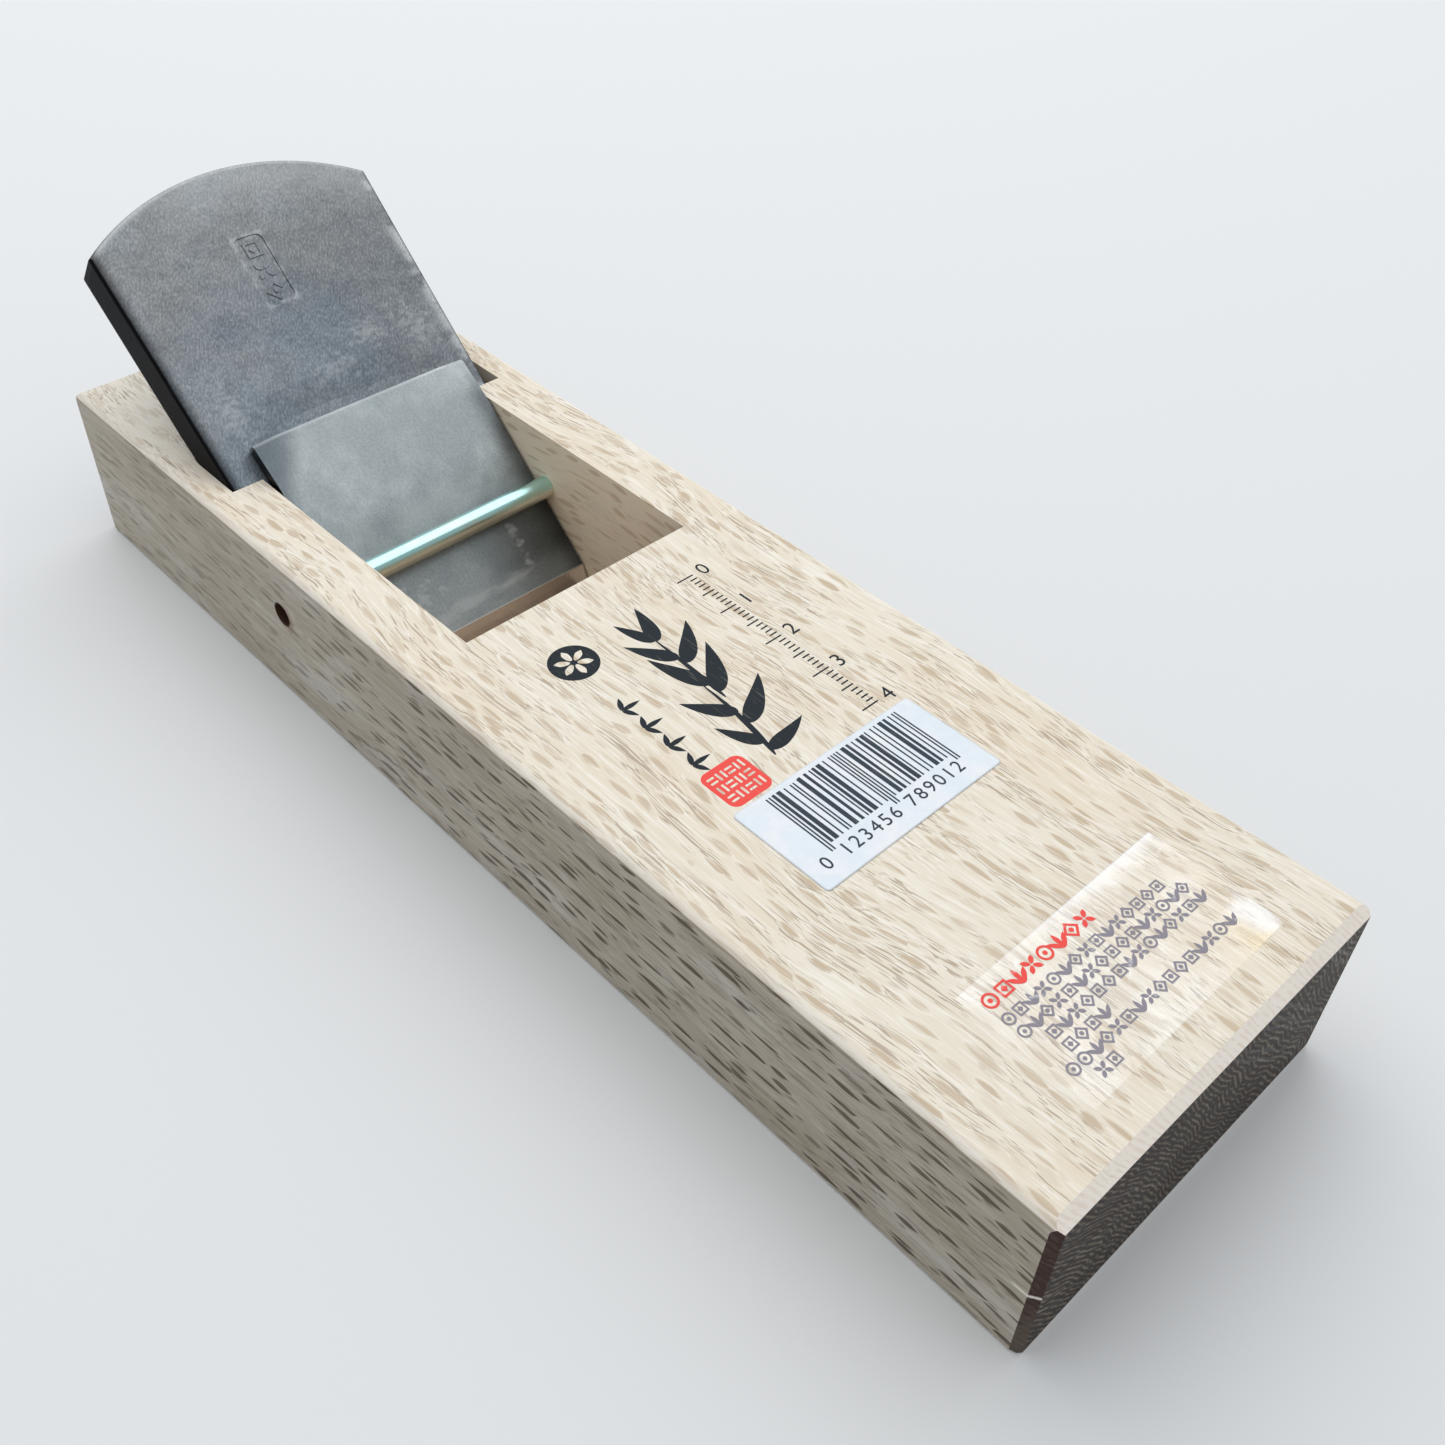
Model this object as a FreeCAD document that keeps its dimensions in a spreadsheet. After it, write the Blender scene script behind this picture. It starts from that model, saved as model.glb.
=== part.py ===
import FreeCAD, Part
import math
import os
import Sketcher

# Japanese pull plane: an oak block with a wedge shaped blade bedded in it, a chip
# breaker lying on the blade, and a steel pin across the opening in front of both.
# Origin at the middle of the block on its sole, +X towards the leading end,
# +Z up through the block, all lengths in millimetres and angles in degrees.

SIZES = {
    # The oak block
    "dai_length": 226.0,
    "dai_width": 67.0,
    "dai_height": 30.5,
    "top_arris_radius": 1.8,
    "sole_arris": 0.6,
    "end_chamfer_along": 1.7,
    "end_chamfer_down": 1.3,
    "corner_chamfer_along": 1.4,
    "corner_chamfer_across": 0.9,
    # The opening for the shavings and the seat of the blade
    "bed_angle": 38.0,
    "outer_cheek_thickness": 5.4,
    "groove_ledge": 5.75,
    "opening_length": 57.9,
    "throat_angle": 76.0,
    "throat_height": 6.0,
    "mouth_gap": 1.6,
    "face_top_share": 0.2102,
    "face_clearance": 0.06,
    "bed_clearance": 0.15,
    "side_play": 1.45,
    "side_clearance": 0.1,
    "bed_corner_round": 2.9,
    # The blade
    "face_angle": 41.0,
    "edge_lift": 0.5,
    "blade_length": 99.0,
    "blade_flare_angle": 0.7,
    "blade_thickness": 10.2,
    "wedge_length": 60.0,
    "bevel_angle": 28.0,
    "crown_rise": 8.24,
    "edge_ear_across": 2.6,
    "edge_ear_up": 3.6,
    "back_round": 3.0,
    "face_round": 0.8,
    "stamp_up_blade": 79.4,
    "stamp_sideways": 0.5,
    "stamp_length": 13.1,
    "stamp_width": 5.6,
    "stamp_corner": 1.3,
    "stamp_depth": 0.2,
    "blade_steel_thickness": 1.6,
    "blade_steel_reach": 62.0,
    "blade_steel_scarf": 5.0,
    "hollow_start": 3.0,
    "hollow_end": 58.7,
    "hollow_side_land": 3.1,
    "hollow_corner": 12.0,
    "hollow_slope": 5.0,
    "hollow_depth": 0.5,
    # The chip breaker
    "breaker_setback": 1.7,
    "breaker_clearance": 0.05,
    "breaker_tilt": 1.2,
    "breaker_length": 49.3,
    "breaker_side_play": 0.5,
    "breaker_thickness": 2.6,
    "breaker_bevel_angle": 25.0,
    "breaker_ear_across": 5.0,
    "breaker_ear_down": 10.0,
    "breaker_fold_round": 5.0,
    "breaker_top_chamfer": 0.5,
    "breaker_steel_thickness": 0.9,
    "breaker_steel_reach": 26.0,
    "breaker_steel_scarf": 3.0,
    # The pin across the opening
    "pin_diameter": 4.1,
    "pin_clearance": 0.06,
    "pin_up_breaker": 21.2,
    "pin_seat_depth": 7.2,
    "pin_end_gap": 0.2,
    "pin_end_chamfer": 0.4,
    # The paper label and the clear film on top of the block
    "label_near_end": 49.6,
    "label_along": 18.0,
    "label_across": 35.5,
    "label_shift": 0.3,
    "label_thickness": 0.12,
    "film_near_end": 6.7,
    "film_along": 21.1,
    "film_across": 40.7,
    "film_shift": 2.0,
    "film_thickness": 0.1,
    # How far every cut runs past the surface that it opens
    "overrun": 5.0,
}

doc = FreeCAD.newDocument("kanna_plane")
sheet = doc.addObject("Spreadsheet::Sheet", "Sizes")
for row, (name, value) in enumerate(SIZES.items(), start=1):
    sheet.set("A%d" % row, name)
    sheet.set("B%d" % row, str(value))
    sheet.setAlias("B%d" % row, name)
doc.recompute()

# Heights and half sizes used by several sub-parts, as expressions of the sizes
TOP = "Sizes.dai_height"
ABOVE_TOP = "(Sizes.dai_height + Sizes.overrun)"
BELOW_SOLE = "(-Sizes.overrun)"
HALF_LENGTH = "(Sizes.dai_length / 2)"
HALF_WIDTH = "(Sizes.dai_width / 2)"
GROOVE_HALF = "(%s - Sizes.outer_cheek_thickness)" % HALF_WIDTH
OPENING_HALF = "(%s - Sizes.groove_ledge)" % GROOVE_HALF
BREAKER_HALF = "(%s - Sizes.breaker_side_play)" % OPENING_HALF

# The blade's face leaves the top of the block here, and ends a little above the sole
FACE_TOP_X = "(Sizes.face_top_share * Sizes.dai_length - %s)" % HALF_LENGTH
EDGE_X = "(%s + (Sizes.dai_height - Sizes.edge_lift) / tan(Sizes.face_angle))" % FACE_TOP_X
EDGE_Z = "Sizes.edge_lift"

# The point where the back of the blade bends away from the bed
BACK_X = (
    "(%s - Sizes.wedge_length * cos(Sizes.face_angle)"
    " - Sizes.blade_thickness * sin(Sizes.face_angle))" % EDGE_X
)
BACK_Z = (
    "(%s + Sizes.wedge_length * sin(Sizes.face_angle)"
    " - Sizes.blade_thickness * cos(Sizes.face_angle))" % EDGE_Z
)

# The blade fills the grooves, less some play, where it leaves the top of the block,
# and flares from its edge up to the shoulders of its crown
SEATED_LENGTH = "((Sizes.dai_height - Sizes.edge_lift) / sin(Sizes.face_angle))"
SHOULDER_LENGTH = "(Sizes.blade_length - Sizes.crown_rise)"
EDGE_HALF = (
    "(%s - Sizes.side_play - %s * tan(Sizes.blade_flare_angle))" % (GROOVE_HALF, SEATED_LENGTH)
)
HEAD_HALF = "(%s + %s * tan(Sizes.blade_flare_angle))" % (EDGE_HALF, SHOULDER_LENGTH)
CROWN_RADIUS = "((%s ^ 2 + Sizes.crown_rise ^ 2) / (2 * Sizes.crown_rise))" % HEAD_HALF
ACROSS_BLADE = "2 * (%s + Sizes.overrun)" % HEAD_HALF
ACROSS_BREAKER = "2 * (%s + Sizes.overrun)" % BREAKER_HALF
BLADE_Y = "(Sizes.side_clearance - Sizes.side_play)"

# The chip breaker's edge, just off the blade's face, and its slope
BREAKER_SLOPE = "(Sizes.face_angle + Sizes.breaker_tilt)"
BREAKER_X = (
    "(%s - Sizes.breaker_setback * cos(Sizes.face_angle)"
    " + Sizes.breaker_clearance * sin(Sizes.face_angle))" % EDGE_X
)
BREAKER_Z = (
    "(%s + Sizes.breaker_setback * sin(Sizes.face_angle)"
    " + Sizes.breaker_clearance * cos(Sizes.face_angle))" % EDGE_Z
)

# The pin's axis, one radius and a clearance in front of the chip breaker
PIN_RISE = "(Sizes.breaker_thickness + Sizes.pin_clearance + Sizes.pin_diameter / 2)"
PIN_X = "(%s - Sizes.pin_up_breaker * cos(%s) + %s * sin(%s))" % (
    BREAKER_X, BREAKER_SLOPE, PIN_RISE, BREAKER_SLOPE,
)
PIN_Z = "(%s + Sizes.pin_up_breaker * sin(%s) + %s * cos(%s))" % (
    BREAKER_Z, BREAKER_SLOPE, PIN_RISE, BREAKER_SLOPE,
)


def value_of(expression):
    """The number that an expression of the sizes gives."""
    return float(sheet.evalExpression(expression))


def new_body(name):
    body = doc.addObject("PartDesign::Body", name)
    body.Label = name
    return body


def new_sketch(body, name, role):
    """An empty sketch on one of the body's own origin planes."""
    sketch = body.newObject("Sketcher::SketchObject", name)
    for feature in body.Origin.OriginFeatures:
        if feature.Role == role:
            sketch.AttachmentSupport = [(feature, "")]
    sketch.MapMode = "FlatFace"
    return sketch


def place_point(sketch, shape, end, x, y):
    """Hold one point of a sketched shape at two distances from the sketch's origin."""
    for direction, expression in (("DistanceX", x), ("DistanceY", y)):
        held = Sketcher.Constraint(direction, -1, 1, shape, end, value_of(expression))
        number = sketch.addConstraint(held)
        sketch.setExpression("Constraints[%d]" % number, expression)


def hold_radius(sketch, shape, radius):
    number = sketch.addConstraint(Sketcher.Constraint("Radius", shape, value_of(radius)))
    sketch.setExpression("Constraints[%d]" % number, radius)


def join_ends(sketch, first, count):
    """Close a ring of sketched shapes, the end of each on the start of the next."""
    for index in range(count):
        following = first + (index + 1) % count
        sketch.addConstraint(Sketcher.Constraint("Coincident", first + index, 2, following, 1))


def polygon(sketch, corners):
    """A closed polygon, each corner a pair of expressions."""
    count = len(corners)
    first = len(sketch.Geometry)
    points = [FreeCAD.Vector(value_of(x), value_of(y), 0) for x, y in corners]
    for index in range(count):
        line = Part.LineSegment(points[index], points[(index + 1) % count])
        sketch.addGeometry(line, False)
    join_ends(sketch, first, count)
    for index, (x, y) in enumerate(corners):
        place_point(sketch, first + index, 1, x, y)


def circle(sketch, x, y, radius):
    centre = FreeCAD.Vector(value_of(x), value_of(y), 0)
    ring = Part.Circle(centre, FreeCAD.Vector(0, 0, 1), value_of(radius))
    sketch.addGeometry(ring, False)
    place_point(sketch, 0, 3, x, y)
    hold_radius(sketch, 0, radius)


def pad(body, sketch, name, length, reverse=False):
    feature = body.newObject("PartDesign::Pad", name)
    feature.Profile = sketch
    feature.Reversed = reverse
    feature.setExpression("Length", length)
    doc.recompute()
    return feature


def pocket(body, sketch, name, length, symmetric=True):
    """Cut a sketch through the body and make sure that it removed material."""
    before = body.Shape.Volume
    feature = body.newObject("PartDesign::Pocket", name)
    feature.Profile = sketch
    feature.Midplane = symmetric
    feature.setExpression("Length", length)
    doc.recompute()
    if body.Shape.Volume >= before:
        raise RuntimeError("%s removed nothing" % name)
    return feature


def dress(body, kind, name, base, wanted, size_name, expression):
    """A fillet or a chamfer on the edges of a feature whose boxes pass a test."""
    edges = []
    for index, edge in enumerate(base.Shape.Edges, start=1):
        if wanted(edge.BoundBox):
            edges.append("Edge%d" % index)
    feature = body.newObject(kind, name)
    feature.Base = (base, edges)
    feature.setExpression(size_name, expression)
    doc.recompute()
    return feature


def seat_on_face(body, x, y, z, slope):
    """Lay a body along the blade's face: its X runs down the slope, its Z out of the face."""
    across = FreeCAD.Vector(0, 1, 0)
    body.Placement = FreeCAD.Placement(
        FreeCAD.Vector(0, 0, 0), FreeCAD.Rotation(across, value_of(slope))
    )
    body.setExpression("Placement.Base.x", x)
    body.setExpression("Placement.Base.y", y)
    body.setExpression("Placement.Base.z", z)
    body.setExpression("Placement.Rotation.Angle", slope)
    doc.recompute()


def bed_x(height):
    """Where the bed passes a height."""
    return (
        "(%s - Sizes.bed_clearance / sin(Sizes.bed_angle) + (%s - %s) / tan(Sizes.bed_angle))"
        % (BACK_X, BACK_Z, height)
    )


def groove_front_x(height):
    """Where the front wall of the blade's grooves passes a height."""
    return (
        "(%s + Sizes.face_clearance / sin(Sizes.face_angle)"
        " + (Sizes.dai_height - %s) / tan(Sizes.face_angle))" % (FACE_TOP_X, height)
    )


def throat_x(height):
    """Where the steep wall in front of the mouth passes a height."""
    return "(%s + Sizes.mouth_gap + %s / tan(Sizes.throat_angle))" % (EDGE_X, height)


# The oak block: a planed slab with rounded long edges and chamfered ends
def make_dai():
    body = new_body("dai")
    outline = new_sketch(body, "dai_outline", "XY_Plane")
    polygon(outline, [
        ("-" + HALF_LENGTH, "-" + HALF_WIDTH),
        (HALF_LENGTH, "-" + HALF_WIDTH),
        (HALF_LENGTH, HALF_WIDTH),
        ("-" + HALF_LENGTH, HALF_WIDTH),
    ])
    slab = pad(body, outline, "dai_slab", TOP)
    middle = value_of(TOP) / 2
    rounded = dress(
        body, "PartDesign::Fillet", "dai_long_edges", slab,
        lambda box: box.ZMin > middle and box.YLength < middle,
        "Radius", "Sizes.top_arris_radius",
    )
    dress(
        body, "PartDesign::Chamfer", "dai_sole_edges", rounded,
        lambda box: box.ZMax < middle / 2,
        "Size", "Sizes.sole_arris",
    )
    cut_end_chamfers(body)
    cut_blade_seat(body)

    # The pin's hole, open through one cheek and blind in the other
    hole = new_sketch(body, "pin_hole_circle", "XZ_Plane")
    hole.setExpression("AttachmentOffset.Base.z", HALF_WIDTH)
    circle(hole, PIN_X, PIN_Z, "Sizes.pin_diameter / 2")
    reach = "%s + %s + Sizes.pin_seat_depth" % (HALF_WIDTH, OPENING_HALF)
    pocket(body, hole, "pin_hole", reach, symmetric=False)
    return body


def cut_end_chamfers(body):
    """The chamfers along the top of both ends and down their corners."""
    past_end = "(%s + Sizes.overrun)" % HALF_LENGTH
    past_side = "(%s + Sizes.overrun)" % HALF_WIDTH
    top_start = "(%s - Sizes.end_chamfer_along)" % HALF_LENGTH
    top_drop = "(Sizes.dai_height - Sizes.end_chamfer_down)"
    corner_start = "(%s - Sizes.corner_chamfer_along)" % HALF_LENGTH
    corner_inset = "(%s - Sizes.corner_chamfer_across)" % HALF_WIDTH
    top = new_sketch(body, "top_end_section", "XZ_Plane")
    upright = new_sketch(body, "corner_section", "XY_Plane")
    for end in ("", "-"):
        polygon(top, [
            (end + top_start, TOP),
            (end + top_start, ABOVE_TOP),
            (end + past_end, ABOVE_TOP),
            (end + past_end, top_drop),
            (end + HALF_LENGTH, top_drop),
        ])
        for side in ("", "-"):
            polygon(upright, [
                (end + corner_start, side + HALF_WIDTH),
                (end + corner_start, side + past_side),
                (end + past_end, side + past_side),
                (end + past_end, side + corner_inset),
                (end + HALF_LENGTH, side + corner_inset),
            ])
    pocket(body, top, "top_end_chamfers", "2 * " + past_side)
    pocket(body, upright, "corner_chamfers", "2 * " + ABOVE_TOP)


def cut_blade_seat(body):
    """The escapement with its mouth, and the grooves that grip the blade."""
    throat_top = throat_x("Sizes.throat_height")
    front = "(%s + Sizes.opening_length)" % FACE_TOP_X
    lean = "(%s - %s) / (Sizes.dai_height - Sizes.throat_height)" % (front, throat_top)
    escapement = new_sketch(body, "escapement_section", "XZ_Plane")
    polygon(escapement, [
        (bed_x(ABOVE_TOP), ABOVE_TOP),
        (bed_x(BELOW_SOLE), BELOW_SOLE),
        (throat_x(BELOW_SOLE), BELOW_SOLE),
        (throat_top, "Sizes.throat_height"),
        ("%s + Sizes.overrun * %s" % (front, lean), ABOVE_TOP),
    ])
    pocket(body, escapement, "escapement", "2 * " + OPENING_HALF)

    grooves = new_sketch(body, "groove_section", "XZ_Plane")
    polygon(grooves, [
        (bed_x(ABOVE_TOP), ABOVE_TOP),
        (bed_x(BELOW_SOLE), BELOW_SOLE),
        (groove_front_x(BELOW_SOLE), BELOW_SOLE),
        (groove_front_x(ABOVE_TOP), ABOVE_TOP),
    ])
    cut = pocket(body, grooves, "blade_grooves", "2 * " + GROOVE_HALF)

    # The bed's two corners follow the rounded back of the blade
    back = value_of(bed_x(TOP))
    close = value_of("Sizes.side_clearance")
    dress(
        body, "PartDesign::Fillet", "bed_corners", cut,
        lambda box: abs(box.XMin - back) < close and box.YLength < close and box.ZLength > close,
        "Radius", "Sizes.bed_corner_round",
    )


def rounded_box(sketch, low, high, near, far, radius):
    """A box from low to high along the sketch and from near to far across it, with round corners."""
    left = "(%s + %s)" % (low, radius)
    right = "(%s - %s)" % (high, radius)
    lower = "(%s + %s)" % (near, radius)
    upper = "(%s - %s)" % (far, radius)
    quarter = math.pi / 2
    # Each corner: the centre of its arc, where the arc starts and where it ends
    corners = [
        ((right, upper), (high, upper), (right, far), 0.0),
        ((left, upper), (left, far), (low, upper), quarter),
        ((left, lower), (low, lower), (left, near), 2 * quarter),
        ((right, lower), (right, near), (high, lower), 3 * quarter),
    ]
    arcs = []
    for centre, begin, end, turn in corners:
        middle = FreeCAD.Vector(value_of(centre[0]), value_of(centre[1]), 0)
        ring = Part.Circle(middle, FreeCAD.Vector(0, 0, 1), value_of(radius))
        arcs.append(Part.ArcOfCircle(ring, turn, turn + quarter))
    for index, arc in enumerate(arcs):
        sketch.addGeometry(arc, False)
        sketch.addGeometry(Part.LineSegment(arc.EndPoint, arcs[(index + 1) % 4].StartPoint), False)
    join_ends(sketch, 0, 2 * len(arcs))
    for index, (centre, begin, end, turn) in enumerate(corners):
        place_point(sketch, 2 * index, 1, *begin)
        place_point(sketch, 2 * index, 2, *end)
        hold_radius(sketch, 2 * index, radius)


def blade_outline(body):
    """The blade square to its face: clipped edge corners, flared sides, domed crown."""
    sketch = new_sketch(body, body.Name + "_outline", "XY_Plane")
    radius = value_of(CROWN_RADIUS)
    centre = FreeCAD.Vector(radius - value_of("Sizes.blade_length"), 0, 0)
    swing = math.asin(value_of(HEAD_HALF) / radius)
    crown = Part.Circle(centre, FreeCAD.Vector(0, 0, 1), radius)
    sketch.addGeometry(Part.ArcOfCircle(crown, math.pi - swing, math.pi + swing), False)
    inner = "(%s - Sizes.edge_ear_across)" % EDGE_HALF
    corners = [
        ("-" + SHOULDER_LENGTH, "-" + HEAD_HALF),
        ("-Sizes.edge_ear_up", "-" + EDGE_HALF),
        ("0", "-" + inner),
        ("0", inner),
        ("-Sizes.edge_ear_up", EDGE_HALF),
        ("-" + SHOULDER_LENGTH, HEAD_HALF),
    ]
    points = [FreeCAD.Vector(value_of(x), value_of(y), 0) for x, y in corners]
    for begin, end in zip(points, points[1:]):
        sketch.addGeometry(Part.LineSegment(begin, end), False)
    join_ends(sketch, 0, len(corners))
    for index, (x, y) in enumerate(corners[:-1], start=1):
        place_point(sketch, index, 1, x, y)
    place_point(sketch, 0, 1, *corners[-1])
    hold_radius(sketch, 0, CROWN_RADIUS)
    return sketch


def round_blade_face(body, slab):
    """The rounding along the sides and the crown of the face, but not along the edge."""
    reach = value_of("Sizes.blade_length") / 2
    return dress(
        body, "PartDesign::Fillet", body.Name + "_face_round", slab,
        lambda box: box.ZMin > -value_of("Sizes.face_round") and max(box.XLength, box.YLength) > reach
        and box.XMax < -value_of("Sizes.edge_ear_up") / 2,
        "Radius", "Sizes.face_round",
    )


def cut_blade_back(body):
    """The bevel and the wedge taper, cut from behind across the whole width."""
    wedge_angle = "(Sizes.face_angle - Sizes.bed_angle)"
    heel = (
        "((Sizes.blade_thickness - Sizes.wedge_length * tan(%s))"
        " / (tan(Sizes.bevel_angle) - tan(%s)))" % (wedge_angle, wedge_angle)
    )
    behind = "-(Sizes.blade_thickness + Sizes.overrun)"
    section = new_sketch(body, body.Name + "_back_section", "XZ_Plane")
    polygon(section, [
        ("0", "0"),
        ("-" + heel, "-%s * tan(Sizes.bevel_angle)" % heel),
        ("-Sizes.wedge_length", "-Sizes.blade_thickness"),
        ("-Sizes.wedge_length", behind),
        ("Sizes.overrun", behind),
        ("Sizes.overrun", "0"),
    ])
    pocket(body, section, body.Name + "_back", ACROSS_BLADE)


# The soft iron of the blade: a thick wedge with a bevel, rounded back and domed crown
def make_blade_iron():
    body = new_body("blade_iron")
    slab = pad(body, blade_outline(body), "blade_iron_slab", "Sizes.blade_thickness", reverse=True)
    round_blade_face(body, slab)
    cut_blade_back(body)

    # The step in its face that the steel is welded into, ending in a scarf
    step = new_sketch(body, "iron_weld_section", "XZ_Plane")
    scarf_end = "-(Sizes.blade_steel_reach + Sizes.blade_steel_scarf)"
    polygon(step, [
        (scarf_end, "0"),
        ("-Sizes.blade_steel_reach", "-Sizes.blade_steel_thickness"),
        ("Sizes.overrun", "-Sizes.blade_steel_thickness"),
        ("Sizes.overrun", "Sizes.overrun"),
        (scarf_end, "Sizes.overrun"),
    ])
    stepped = pocket(body, step, "iron_weld_step", ACROSS_BLADE)

    # The long back edges and the back of the crown are rounded
    thick = value_of("Sizes.blade_thickness")
    crown_start = -value_of(SHOULDER_LENGTH)
    dress(
        body, "PartDesign::Fillet", "iron_back_round", stepped,
        lambda box: box.ZMax < -thick / 2 and (box.XLength > thick or box.XMax < crown_start / 1.1),
        "Radius", "Sizes.back_round",
    )

    # The shallow round-cornered panel pressed into the face near the crown
    panel = new_sketch(body, "stamp_outline", "XY_Plane")
    half_stamp = "(Sizes.stamp_length / 2)"
    rounded_box(
        panel,
        "(-Sizes.stamp_up_blade - %s)" % half_stamp, "(-Sizes.stamp_up_blade + %s)" % half_stamp,
        "(-Sizes.stamp_sideways - Sizes.stamp_width / 2)",
        "(-Sizes.stamp_sideways + Sizes.stamp_width / 2)",
        "Sizes.stamp_corner",
    )
    pocket(body, panel, "stamp_panel", "2 * Sizes.stamp_depth")
    seat_on_face(body, EDGE_X, BLADE_Y, EDGE_Z, "Sizes.face_angle")
    return body


# The hard steel on the blade's face, ground hollow inside a flat border
def make_blade_steel():
    body = new_body("blade_steel")
    slab = pad(
        body, blade_outline(body), "blade_steel_slab", "Sizes.blade_steel_thickness", reverse=True
    )
    round_blade_face(body, slab)
    cut_blade_back(body)
    beyond = new_sketch(body, "steel_scarf_section", "XZ_Plane")
    scarf_end = "-(Sizes.blade_steel_reach + Sizes.blade_steel_scarf)"
    past_crown = "-(Sizes.blade_length + Sizes.overrun)"
    below = "-(Sizes.blade_steel_thickness + Sizes.overrun)"
    polygon(beyond, [
        (scarf_end, "0"),
        ("-Sizes.blade_steel_reach", "-Sizes.blade_steel_thickness"),
        ("-Sizes.blade_steel_reach", below),
        (past_crown, below),
        (past_crown, "Sizes.overrun"),
        (scarf_end, "Sizes.overrun"),
    ])
    pocket(body, beyond, "steel_scarf", ACROSS_BLADE)

    # The hollow: a shallow dish with sloping sides all round
    rim = new_sketch(body, "hollow_rim", "XY_Plane")
    hollow_outline(rim, "0")
    floor = new_sketch(body, "hollow_floor", "XY_Plane")
    floor.setExpression("AttachmentOffset.Base.z", "-Sizes.hollow_depth")
    hollow_outline(floor, "Sizes.hollow_slope")
    doc.recompute()
    before = body.Shape.Volume
    hollow = body.newObject("PartDesign::SubtractiveLoft", "hollow")
    hollow.Profile = rim
    hollow.Sections = [floor]
    doc.recompute()
    if body.Shape.Volume >= before:
        raise RuntimeError("the hollow removed nothing")
    seat_on_face(body, EDGE_X, BLADE_Y, EDGE_Z, "Sizes.face_angle")
    return body


def hollow_outline(sketch, inset):
    """The hollow's outline with round corners, drawn in from its rim by an inset."""
    side = "(%s - Sizes.hollow_side_land - %s)" % (EDGE_HALF, inset)
    rounded_box(
        sketch,
        "(-Sizes.hollow_end + %s)" % inset, "(-Sizes.hollow_start - %s)" % inset,
        "(-%s)" % side, side, "(Sizes.hollow_corner - %s)" % inset,
    )


def cut_breaker_bevel(body):
    """The bevel on the front of the chip breaker, down to its edge."""
    heel = "(-Sizes.breaker_thickness / tan(Sizes.breaker_bevel_angle))"
    above = "(Sizes.breaker_thickness + Sizes.overrun)"
    section = new_sketch(body, body.Name + "_bevel_section", "XZ_Plane")
    polygon(section, [
        ("0", "0"),
        (heel, "Sizes.breaker_thickness"),
        (heel, above),
        ("Sizes.overrun", above),
        ("Sizes.overrun", "0"),
    ])
    pocket(body, section, body.Name + "_bevel", ACROSS_BREAKER)


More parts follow.
